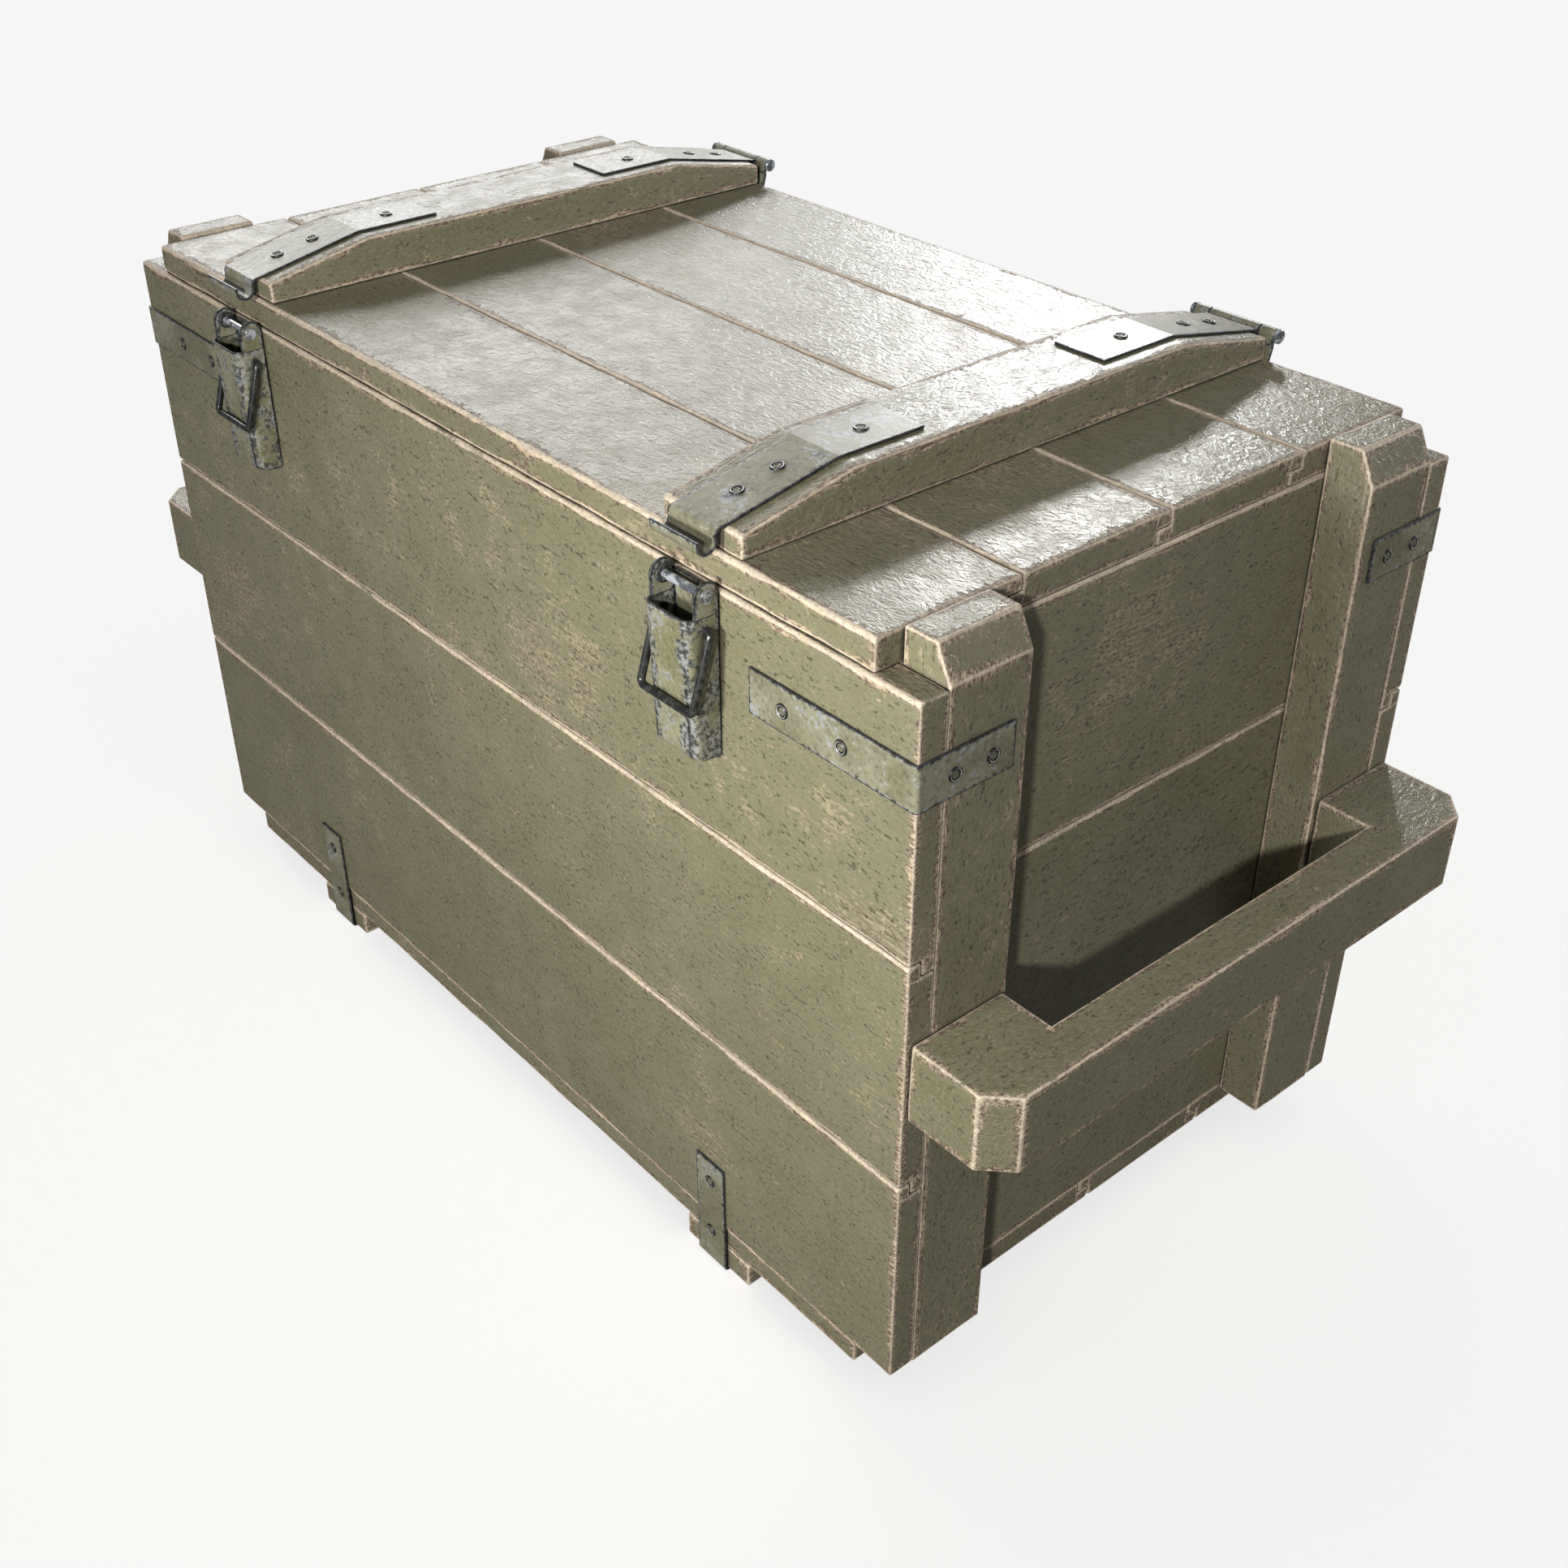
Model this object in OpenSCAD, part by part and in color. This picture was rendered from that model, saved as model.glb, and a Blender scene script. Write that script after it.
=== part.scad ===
// Footlocker: a plank-built crate with a hinged lid, two toggle latches and a wooden handle at each end.
// X runs along the crate, -Y is the latch side and +Z is up. The origin is below the middle of the
// crate, on the plane it stands on. Heights in the modules count from the side planks' lower edge.

/* [Box] */
// Length of the long side planks
box_len = 800; // [640:10:1000]
// Width over the outer faces of the long sides
box_w = 417; // [400:1:560]
// Height of the side walls, without lid and bottom boards
wall_h = 460; // [420:5:560]
// Thickness of the wall and lid planks
plank_t = 19; // [16:0.5:22]
// Thickness of the bottom boards, and of the skids under them
bottom_t = 18.5; // [16:0.5:22]
// How far one plank laps behind the next one
lap = 10; // [6:1:14]
// Open gap along each plank joint
joint_gap = 0.5; // [0.3:0.1:1]

/* [Ends] */
// Distance from the ends of the side planks in to the end panels
end_inset = 32; // [26:1:44]
// Width of the upright end battens
batten_w = 55; // [45:1:65]
// How far the battens stand above the lid and below the side planks
batten_proud = 2; // [0.5:0.5:4]
// Chamfer on the top outer edge of the battens, measured outwards
batten_cut_x = 10; // [6:1:14]
// Chamfer on the top outer edge of the battens, measured downwards
batten_cut_z = 20; // [12:1:26]

/* [Handles] */
// How far a handle reaches out from the end of the box
handle_reach = 65.6; // [60:0.2:80]
// Width over the two arms of a handle
handle_w = 410; // [380:1:416]
// Width of each handle arm
handle_arm_w = 67.5; // [60:0.5:75]
// Height of the handle's wood
handle_h = 51; // [40:1:60]
// Underside of the handle
handle_z = 203; // [150:1:260]
// Thickness of the grip bar
grip_t = 30; // [26:1:34]
// Chamfer on the handle's two outer corners
handle_cut = 16.7; // [8:0.1:20]

/* [Lid] */
// How far the lid stops short of the faces of the long sides
lid_setback = 2; // [1:0.5:4]
// Gap between each end of the lid and the battens
lid_end_gap = 1; // [0.6:0.2:3]
// Width of the two inner lid planks
inner_plank_w = 110.5; // [100:0.5:115]
// Distance from the crate's middle to each lid cleat and to each latch
cleat_x = 238; // [200:1:260]
// Width of a lid cleat, and of a skid
cleat_w = 62; // [56:1:70]
// Height of a lid cleat along its level middle
cleat_h = 28.6; // [24:0.2:32]
// Height of a lid cleat at its two ends
cleat_end_h = 14; // [12:0.5:16]
// Length of the level middle of a lid cleat
cleat_level = 260; // [220:2:280]

/* [Straps] */
// Thickness of the strap steel
strap_t = 1.5; // [1:0.1:2]
// Width of the straps on the lid cleats
lid_strap_w = 38; // [34:1:38]
// Where the lid straps start, from the middle of the lid
lid_strap_start = 70; // [60:1:80]
// Width of the corner and bottom straps
edge_strap_w = 27; // [22:1:32]
// Length of a corner strap along the side of the box
corner_strap_len = 120; // [110:1:140]
// Length of a corner strap along the end of the box
corner_strap_return = 64; // [58:1:72]
// Lower edge of the corner straps
corner_strap_z = 400; // [370:1:405]
// Height of the bottom straps on the side planks
bottom_strap_rise = 51; // [44:1:70]
// Length of a bottom strap under its skid
bottom_strap_return = 26; // [15:1:40]
// Diameter of the screw heads
screw_head_d = 8.6; // [7:0.1:10]

/* [Latches] */
// Width over the flanges of a latch lever
lever_w = 37; // [37:0.5:40]
// Length of a lever below its pin
lever_len = 96; // [90:1:105]
// Thickness of the lever and base steel
lever_t = 1.6; // [1.2:0.1:2]
// Reach of a lever's face in front of its pin
lever_reach = 13.2; // [12.6:0.1:14]
// Lean of the lever's face towards the box, in degrees
lever_lean = 2.2; // [1:0.1:3]
// Diameter of the latch pins
latch_pin_d = 5; // [4:0.5:6]
// Diameter of the bail wire
bail_d = 4.6; // [4:0.1:5]

/* [Hinges] */
// Diameter of the hinge pins
hinge_pin_d = 5; // [4:0.5:5]
// Outer diameter of the hinge knuckles
knuckle_d = 8.6; // [8:0.2:9]
// Thickness of the hinge leaf on the box
leaf_t = 1.8; // [1.5:0.1:2]

/* [Hidden] */
$fn = 48;
ROWS = ["bottom", "middle", "top"];
SIDES = ["front", "rear"];
ENDS = ["left", "right"];
BOARDS = [1, 2, 3, 4];
SIGN = [-1, 1];

function both(name) = [for (e = ENDS) str(name, "_", e)];
function corners(name) = [for (e = ENDS) for (s = SIDES) str(name, "_", e, "_", s)];
function numbered(name) = [for (b = BOARDS) str(name, "_", b)];

NODES = concat(
    [for (s = SIDES) for (r = ROWS) str(s, "_plank_", r)],
    [for (e = ENDS) for (r = ROWS) str(e, "_panel_", r)],
    numbered("bottom_board"), both("skid"), corners("batten"), both("handle"),
    corners("corner_strap"), corners("bottom_strap"), ["corner_strap_screws", "bottom_strap_screws"],
    both("hinge_leaf"), both("hinge_pin"), ["hinge_leaf_screws"],
    both("latch_base"), both("latch_pin"), ["latch_base_screws"],
    numbered("lid_plank"), both("cleat"), both("hook_strap"), both("hinge_strap"), ["lid_strap_screws"],
    both("latch_lever"), both("latch_bail")
);
node = "all";
function shown(name) = node == "all" || node == name;

// colours
PAINT = "#a19c74";
SHADED_PAINT = "#8d8a66";
STRAP_PAINT = "#8f9082";
BARE_STEEL = "#6f737b";

// clearances: between fixed wooden pieces, round a pin or a screw, and between knuckles
wood_gap = 0.2;
running_gap = 0.05;
knuckle_gap = 0.3;

// the box
side_y = box_w / 2;
inside_y = side_y - plank_t;
end_x = box_len / 2;
panel_x = end_x - end_inset;
row_h = wall_h / len(ROWS);
under_h = 2 * bottom_t;
batten_y = inside_y - wood_gap;
batten_top = wall_h + plank_t + batten_proud;

// the lid, and the bottom boards, which are cut like it; edges are their joints from front to rear
lid_len = 2 * (panel_x - lid_end_gap);
lid_w = box_w - 2 * lid_setback;
lid_top = wall_h + plank_t;
middle_joint_y = 2;
board_edges = [
    -lid_w / 2, middle_joint_y - inner_plank_w, middle_joint_y, middle_joint_y + inner_plank_w, lid_w / 2
];

// the cleats on the lid, whose tops slope down at both ends
cleat_setback = 2;
cleat_len = lid_w - 2 * cleat_setback;
cleat_top = lid_top + cleat_h;
cleat_slope = atan((cleat_h - cleat_end_h) / ((cleat_len - cleat_level) / 2));

// the rear hinges
hinge_y = side_y + 7;
hinge_z = lid_top + 12;
hinge_len = 62;
hinge_head_d = 9;
hinge_head_t = 2.3;
leaf_foot_z = wall_h - 48;
leaf_jog = [14, 24];

// the latches: the pin, and the pivot of the bail below it
latch_pin_y = -side_y - 8.6;
latch_pin_z = wall_h - 1;
latch_head_d = 8;
latch_head_t = 0.7;
latch_head_gap = 0.15;
pivot_y = latch_pin_y - 0.3;
pivot_z = latch_pin_z - 19;
lever_top_r = 8;
lever_corner_r = 6.5;
lever_foot_r = 5;
lever_wall_gap = 0.8;
window_foot = 11;
base_w = lever_w - 2 * lever_t - 1;
base_foot_z = latch_pin_z - 84;
ear_r = 5.2;

// the hook for each bail, at the front end of the lid straps
trough_r = 5;
trough_y = -side_y - 7.7;
trough_z = lid_top + 8.5;
lip_rise = 2.5;

// the bail reaches the bottom of the hook, and at rest it lies on the face of its lever
bail_clearance = 0.4;
bail_side_x = lever_w / 2 + 1.1 + bail_d / 2;
bail_bend_r = 3.5;
bail_stub_x = lever_w / 2 - lever_t - 1.5;
bail_len = norm([trough_y - pivot_y, trough_z - trough_r + bail_d / 2 + bail_clearance - pivot_z]);
function face_y(z) = latch_pin_y - lever_reach + (latch_pin_z - z) * tan(lever_lean);
function bail_bar_y(z) = face_y(z) - bail_d / 2 - bail_clearance;
function bail_bar_z(guess, turns) =
    turns == 0 ? guess
    : bail_bar_z(pivot_z - sqrt(bail_len ^ 2 - (pivot_y - bail_bar_y(guess)) ^ 2), turns - 1);
bail_y = bail_bar_y(bail_bar_z(pivot_z - bail_len, 4));
bail_lean = asin((pivot_y - bail_y) / bail_len);

// the part's depth is centred on Y = 0, between the front of the bails and the back of the hinges
front_reach = -bail_y + bail_d / 2;
rear_reach = hinge_y + hinge_head_d / 2;
y_shift = (front_reach - rear_reach) / 2;

module in_frame() {
    translate([0, y_shift, under_h]) children();
}

module mirror_if(wanted, axis) {
    if (wanted) mirror(axis) children();
    else children();
}

// a piece that is drawn at the right rear corner, brought to any corner
module at_corner(ex, sy) {
    mirror_if(ex < 0, [1, 0, 0]) mirror_if(sy < 0, [0, 1, 0]) children();
}

// an outline drawn in Y and Z, extruded along X
module along_x(width) {
    rotate([90, 0, 90]) linear_extrude(width, center = true) children();
}

// an outline drawn in X and Z, extruded along Y
module along_y(width) {
    rotate([90, 0, 0]) linear_extrude(width, center = true) children();
}

module block(low, high) {
    translate(low) cube(high - low);
}

// ---- strap outlines: a band of even thickness on the left of a path ----
function unit(v) = v / norm(v);
function left_of(v) = [-v[1], v[0]];
function mitre(a, b, t) = let (m = left_of(a), n = left_of(b)) t * (m + n) / (1 + m * n);
function band(path, t) =
    let (
        last = len(path) - 1,
        ways = [for (i = [0:last - 1]) unit(path[i + 1] - path[i])],
        outer = [for (i = [0:last]) path[i] + mitre(ways[max(i - 1, 0)], ways[min(i, last - 1)], t)]
    )
    concat(path, [for (i = [last:-1:0]) outer[i]]);

function cleat_z(y) = cleat_top - max(0, abs(y) - cleat_level / 2) * tan(cleat_slope);

// ---- screws: each has a place on a surface, and the turn from +Z to the way its head faces ----
screw_head_t = 1;
screw_shank_d = 3.6;
screw_len = 14;
FACE_FRONT = [90, 0, 0];
FACE_REAR = [-90, 0, 0];
FACE_LEFT = [0, -90, 0];
FACE_RIGHT = [0, 90, 0];
function facing(sy) = sy < 0 ? FACE_FRONT : FACE_REAR;
function facing_end(ex) = ex < 0 ? FACE_LEFT : FACE_RIGHT;

// places of the screws, from the ends, faces, feet and middles that the names tell
corner_screw_z = corner_strap_z + edge_strap_w / 2 - 0.5;
corner_screws_from_end = [50.5, 94];
corner_screws_from_side = [23.5, 49];
bottom_strap_x = cleat_x - 2;
bottom_screw_heights = [34, -bottom_t / 2];
leaf_screw_x = [-20, 20];
leaf_screw_heights = [11, 37];
base_screw_heights = [12, 44];
lid_screw_y = [-181, -154.5, -98, 105.5, 162, 187.5];

corner_screws = [for (ex = SIGN) for (sy = SIGN) each concat(
    [for (in = corner_screws_from_end)
        [[ex * (end_x - in), sy * (side_y + strap_t), corner_screw_z], facing(sy)]],
    [for (in = corner_screws_from_side)
        [[ex * (end_x + strap_t), sy * (side_y - in), corner_screw_z], facing_end(ex)]]
)];
bottom_screws = [for (ex = SIGN) for (sy = SIGN) for (z = bottom_screw_heights)
    [[ex * bottom_strap_x, sy * (side_y + strap_t), z], facing(sy)]];
leaf_screws = [for (ex = SIGN) for (x = leaf_screw_x) for (up = leaf_screw_heights)
    [[ex * cleat_x + x, side_y + leaf_t, leaf_foot_z + up], FACE_REAR]];
base_screws = [for (ex = SIGN) for (up = base_screw_heights)
    [[ex * cleat_x, -side_y - lever_t, base_foot_z + up], FACE_FRONT]];

function lid_screw(x, y) =
    let (turn = abs(y) > cleat_level / 2 ? sign(-y) * cleat_slope : 0)
    [[x, y - sin(turn) * strap_t, cleat_z(y) + cos(turn) * strap_t], [turn, 0, 0]];
lid_screws = [for (ex = SIGN) for (y = lid_screw_y) lid_screw(ex * cleat_x, y)];

module at_each(places) {
    for (p = places) translate(p[0]) rotate(p[1]) children();
}

module screw() {
    cylinder(d1 = screw_head_d, d2 = screw_head_d - 1.6, h = screw_head_t);
    translate([0, 0, -screw_len]) cylinder(d = screw_shank_d, h = screw_len);
}

module screws(places) {
    color(BARE_STEEL) in_frame() at_each(places) screw();
}

module screw_holes(places) {
    at_each(places) translate([0, 0, -screw_len - 1])
        cylinder(d = screw_shank_d + 2 * running_gap, h = screw_len + 2);
}

// ---- wood ----

// The outline across one plank as [along the row, outwards] points. Its inner half laps behind the
// plank before it, and makes room for the plank after it; first and last planks have a plain edge.
function plank_points(low, high, thick, first, last) =
    let (
        inner = (thick - wood_gap) / 2,
        outer = (thick + wood_gap) / 2,
        low_out = first ? low : low + joint_gap / 2,
        low_in = first ? low : low_out - lap,
        high_out = last ? high : high - joint_gap / 2,
        high_in = last ? high : high_out - lap
    )
    [
        [low_in, 0], [high_in, 0], [high_in, outer], [high_out, outer],
        [high_out, thick], [low_out, thick], [low_out, inner], [low_in, inner]
    ];
function wall_points(row) =
    plank_points(row * row_h, (row + 1) * row_h, plank_t, row == 0, row == len(ROWS) - 1);
function board_points(i, thick) =
    plank_points(board_edges[i], board_edges[i + 1], thick, i == 0, i == len(BOARDS) - 1);

module side_plank(row, sy) {
    color(PAINT) in_frame() difference() {
        along_x(box_len) polygon([for (p = wall_points(row)) [sy * (inside_y + p[1]), p[0]]]);
        screw_holes(concat(corner_screws, bottom_screws, leaf_screws, base_screws));
    }
}

module end_plank(row, ex) {
    color(SHADED_PAINT) in_frame() along_y(2 * batten_y)
        polygon([for (p = wall_points(row)) [ex * (panel_x - plank_t + p[1]), p[0]]]);
}

module bottom_board(i) {
    color(SHADED_PAINT) in_frame() difference() {
        along_x(lid_len) polygon([for (p = board_points(i, bottom_t)) [p[0], -p[1]]]);
        screw_holes(bottom_screws);
    }
}

module lid_plank(i) {
    color(PAINT) in_frame() along_x(lid_len)
        polygon([for (p = board_points(i, plank_t)) [p[0], wall_h + p[1]]]);
}

// the straps' ends are let into the underside of the skid, so that the skid is what stands on the floor
module skid(ex) {
    color(PAINT) in_frame() difference() {
        block([ex * cleat_x - cleat_w / 2, -lid_w / 2, -under_h],
              [ex * cleat_x + cleat_w / 2, lid_w / 2, -bottom_t]);
        for (sy = SIGN) translate([ex * bottom_strap_x, sy * side_y, -under_h])
            cube([edge_strap_w + 1, 2 * bottom_strap_return + 1, 2 * strap_t + 0.2], center = true);
    }
}

module batten(ex, sy) {
    color(PAINT) in_frame() difference() {
        at_corner(ex, sy) translate([panel_x, batten_y - batten_w / 2, 0]) along_y(batten_w)
            polygon([
                [0, -batten_proud], [end_inset, -batten_proud], [end_inset, batten_top - batten_cut_z],
                [end_inset - batten_cut_x, batten_top], [0, batten_top]
            ]);
        screw_holes(corner_screws);
    }
}

// a U in one piece: two arms on the battens and planks, and the grip bar between them
module handle(ex) {
    out = end_x + handle_reach;
    half = handle_w / 2;
    color(PAINT) in_frame() mirror_if(ex < 0, [1, 0, 0])
        translate([0, 0, handle_z]) linear_extrude(handle_h) difference() {
            polygon([
                [end_x, -half], [out - handle_cut, -half], [out, handle_cut - half],
                [out, half - handle_cut], [out - handle_cut, half], [end_x, half]
            ]);
            translate([end_x - 1, handle_arm_w - half])
                square([handle_reach - grip_t + 1, handle_w - 2 * handle_arm_w]);
        }
}

module cleat(ex) {
    color(PAINT) in_frame() difference() {
        translate([ex * cleat_x, 0, 0]) along_x(cleat_w) polygon([
            [-cleat_len / 2, lid_top], [cleat_len / 2, lid_top],
            [cleat_len / 2, lid_top + cleat_end_h], [cleat_level / 2, cleat_top],
            [-cleat_level / 2, cleat_top], [-cleat_len / 2, lid_top + cleat_end_h]
        ]);
        screw_holes(lid_screws);
    }
}

// ---- straps ----

module corner_strap(ex, sy) {
    color(STRAP_PAINT) in_frame() difference() {
        at_corner(ex, sy) translate([0, 0, corner_strap_z]) linear_extrude(edge_strap_w) polygon(band([
            [end_x - corner_strap_len, side_y], [end_x, side_y], [end_x, side_y - corner_strap_return]
        ], strap_t));
        screw_holes(corner_screws);
    }
}

module bottom_strap(ex, sy) {
    color(STRAP_PAINT) in_frame() difference() {
        at_corner(ex, sy) translate([bottom_strap_x, 0, 0]) along_x(edge_strap_w) polygon(band([
            [side_y - bottom_strap_return, strap_t - under_h], [side_y, strap_t - under_h],
            [side_y, bottom_strap_rise]
        ], -strap_t));
        screw_holes(bottom_screws);
    }
}

// runs along the cleat's top, over its front end, and curls up into the hook
module hook_outline() {
    back_y = trough_y + trough_r + strap_t;
    polygon(band([
        [back_y, trough_z], [back_y, cleat_z(back_y)], [-cleat_level / 2, cleat_top],
        [-lid_strap_start, cleat_top]
    ], strap_t));
    translate([trough_y, trough_z]) difference() {
        circle(trough_r + strap_t);
        circle(trough_r);
        translate([-2 * trough_r, 0]) square([4 * trough_r, 2 * trough_r]);
    }
    translate([trough_y - trough_r - strap_t, trough_z]) square([strap_t, lip_rise]);
}

module hook_strap(ex) {
    color(STRAP_PAINT) in_frame() difference() {
        translate([ex * cleat_x, 0, 0]) along_x(lid_strap_w) hook_outline();
        screw_holes(lid_screws);
    }
}

// ---- hinges ----

module knuckle_ring() {
    translate([hinge_y, hinge_z]) circle(d = knuckle_d);
}

module hinge_bore() {
    translate([0, hinge_y, hinge_z]) rotate([0, 90, 0])
        cylinder(d = hinge_pin_d + 2 * running_gap, h = hinge_len + 2, center = true);
}

// the lid's half: a strap along the cleat that ends in the middle knuckle
module hinge_strap(ex) {
    strap_end_y = hinge_y - (knuckle_d + hinge_pin_d) / 4 + 0.2;
    color(STRAP_PAINT) in_frame() difference() {
        translate([ex * cleat_x, 0, 0]) difference() {
            along_x(lid_strap_w) union() {
                polygon(band([
                    [lid_strap_start, cleat_top], [cleat_level / 2, cleat_top],
                    [strap_end_y, cleat_z(strap_end_y)]
                ], strap_t));
                knuckle_ring();
            }
            hinge_bore();
        }
        screw_holes(lid_screws);
    }
}

// the box's half: a plate on the rear planks that steps out past the lid, with the two outer knuckles
module hinge_leaf(ex) {
    plate_y = hinge_y - knuckle_d / 2;
    notch_x = lid_strap_w / 2 + knuckle_gap;
    color(STRAP_PAINT) in_frame() difference() {
        translate([ex * cleat_x, 0, 0]) difference() {
            along_x(hinge_len) union() {
                polygon(band([
                    [side_y, leaf_foot_z], [side_y, wall_h + leaf_jog[0]],
                    [plate_y, wall_h + leaf_jog[1]], [plate_y, hinge_z]
                ], -leaf_t));
                knuckle_ring();
            }
            hinge_bore();
            block([-notch_x, side_y - 1, hinge_z - knuckle_d / 2 - 1],
                  [notch_x, hinge_y + knuckle_d, hinge_z + knuckle_d]);
        }
        screw_holes(leaf_screws);
    }
}

module hinge_pin(ex) {
    color(BARE_STEEL) in_frame() translate([ex * cleat_x, hinge_y, hinge_z]) rotate([0, 90, 0]) {
        cylinder(d = hinge_pin_d, h = hinge_len, center = true);
        for (s = SIGN) translate([0, 0, s * (hinge_len + hinge_head_t) / 2])
            cylinder(d = hinge_head_d, h = hinge_head_t, center = true);
    }
}

// ---- latches, drawn round the pin of the lever ----

module at_latch(ex) {
    translate([ex * cleat_x, latch_pin_y, latch_pin_z]) children();
}

// a cylinder along X that is centred on the point [y, z]
module rod_x(d, len, y = 0, z = 0) {
    translate([0, y, z]) rotate([0, 90, 0]) cylinder(d = d, h = len, center = true);
}

// a plate on the front plank, with two ears that carry the pin between the flanges of the lever
module latch_base(ex) {
    wall = -side_y - latch_pin_y;
    color(STRAP_PAINT) in_frame() difference() {
        at_latch(ex) difference() {
            union() {
                block([-base_w / 2, wall - lever_t, base_foot_z - latch_pin_z],
                      [base_w / 2, wall, wall_h - latch_pin_z]);
                for (s = SIGN) translate([s * (base_w - lever_t) / 2, 0, 0]) along_x(lever_t) union() {
                    circle(ear_r);
                    translate([0, -ear_r]) square([wall, ear_r]);
                }
            }
            rod_x(latch_pin_d + 2 * running_gap, lever_w);
        }
        screw_holes(base_screws);
    }
}

module latch_pin(ex) {
    head_x = lever_w / 2 + latch_head_gap + latch_head_t / 2;
    color(BARE_STEEL) in_frame() at_latch(ex) {
        rod_x(latch_pin_d, lever_w + 2 * latch_head_gap);
        for (s = SIGN) translate([s * head_x, 0, 0]) rod_x(latch_head_d, latch_head_t);
    }
}

// a channel in plan: a face with two rounded corners, and flanges that run back towards the box
module channel(width, face, corner_r) {
    half = width / 2;
    back = 30;
    translate([-half, face + corner_r]) square([width, back - face - corner_r]);
    translate([corner_r - half, face]) square([width - 2 * corner_r, corner_r]);
    for (s = SIGN) translate([s * (half - corner_r), face + corner_r]) circle(corner_r);
}

// the lever seen from its side: round at the pin, open above the window's foot, round at the lower end
module lever_side() {
    back = -side_y - latch_pin_y - lever_wall_gap;
    foot_y = face_y(latch_pin_z - lever_len) - latch_pin_y + lever_foot_r;
    front = -lever_reach - 1;
    circle(lever_top_r);
    translate([-lever_top_r, -window_foot - 1]) square([lever_top_r + back, window_foot + 1]);
    translate([foot_y, -lever_len]) square([back - foot_y, lever_foot_r + 1]);
    translate([foot_y, lever_foot_r - lever_len]) circle(lever_foot_r);
    translate([front, lever_foot_r - lever_len])
        square([back - front, lever_len - lever_foot_r - window_foot]);
}

module latch_lever(ex) {
    color(STRAP_PAINT) in_frame() at_latch(ex) difference() {
        intersection() {
            rotate([lever_lean, 0, 0]) translate([0, 0, -lever_len - 10])
                linear_extrude(lever_len + lever_top_r + 20) difference() {
                    channel(lever_w, -lever_reach, lever_corner_r);
                    channel(lever_w - 2 * lever_t, lever_t - lever_reach, lever_corner_r - lever_t);
                }
            along_x(lever_w + 2) lever_side();
        }
        rod_x(latch_pin_d + 2 * running_gap, lever_w + 2);
        rod_x(bail_d + 2 * running_gap, lever_w + 2, pivot_y - latch_pin_y, pivot_z - latch_pin_z);
    }
}

// a quarter bend of the wire, from its top round to its +X side
module wire_bend() {
    rotate([90, 0, 0]) rotate_extrude(angle = 90) translate([bail_bend_r, 0]) circle(d = bail_d);
}

// one wire: a stub into each flange, two arms, and the bar that goes into the hook
module latch_bail(ex) {
    bend_x = bail_side_x - bail_bend_r;
    color(BARE_STEEL) in_frame() translate([ex * cleat_x, pivot_y, pivot_z]) rotate([-bail_lean, 0, 0]) {
        for (m = [false, true]) mirror_if(m, [1, 0, 0]) {
            translate([bail_stub_x, 0, 0]) rotate([0, 90, 0])
                cylinder(d = bail_d, h = bend_x - bail_stub_x);
            translate([bend_x, 0, -bail_bend_r]) wire_bend();
            translate([bail_side_x, 0, bail_bend_r - bail_len])
                cylinder(d = bail_d, h = bail_len - 2 * bail_bend_r);
            translate([bend_x, 0, bail_bend_r - bail_len]) mirror([0, 0, 1]) wire_bend();
        }
        rod_x(bail_d, 2 * bend_x, 0, -bail_len);
    }
}

// ---- every node ----
for (s = [0, 1]) for (r = [0:len(ROWS) - 1])
    if (shown(str(SIDES[s], "_plank_", ROWS[r]))) side_plank(r, SIGN[s]);
for (e = [0, 1]) for (r = [0:len(ROWS) - 1])
    if (shown(str(ENDS[e], "_panel_", ROWS[r]))) end_plank(r, SIGN[e]);
for (b = BOARDS) {
    if (shown(str("bottom_board_", b))) bottom_board(b - 1);
    if (shown(str("lid_plank_", b))) lid_plank(b - 1);
}
for (e = [0, 1]) {
    if (shown(str("skid_", ENDS[e]))) skid(SIGN[e]);
    if (shown(str("handle_", ENDS[e]))) handle(SIGN[e]);
    if (shown(str("hinge_leaf_", ENDS[e]))) hinge_leaf(SIGN[e]);
    if (shown(str("hinge_pin_", ENDS[e]))) hinge_pin(SIGN[e]);
    if (shown(str("latch_base_", ENDS[e]))) latch_base(SIGN[e]);
    if (shown(str("latch_pin_", ENDS[e]))) latch_pin(SIGN[e]);
    if (shown(str("cleat_", ENDS[e]))) cleat(SIGN[e]);
    if (shown(str("hook_strap_", ENDS[e]))) hook_strap(SIGN[e]);
    if (shown(str("hinge_strap_", ENDS[e]))) hinge_strap(SIGN[e]);
    if (shown(str("latch_lever_", ENDS[e]))) latch_lever(SIGN[e]);
    if (shown(str("latch_bail_", ENDS[e]))) latch_bail(SIGN[e]);
}
for (e = [0, 1]) for (s = [0, 1]) {
    if (shown(str("batten_", ENDS[e], "_", SIDES[s]))) batten(SIGN[e], SIGN[s]);
    if (shown(str("corner_strap_", ENDS[e], "_", SIDES[s]))) corner_strap(SIGN[e], SIGN[s]);
    if (shown(str("bottom_strap_", ENDS[e], "_", SIDES[s]))) bottom_strap(SIGN[e], SIGN[s]);
}
if (shown("corner_strap_screws")) screws(corner_screws);
if (shown("bottom_strap_screws")) screws(bottom_screws);
if (shown("hinge_leaf_screws")) screws(leaf_screws);
if (shown("latch_base_screws")) screws(base_screws);
if (shown("lid_strap_screws")) screws(lid_screws);
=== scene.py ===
"""Footlocker: a worn, olive painted plank crate with a hinged lid, toggle latches and end handles."""

import math

import bpy
import numpy as np
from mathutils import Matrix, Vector
from mathutils.geometry import delaunay_2d_cdt


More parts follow.
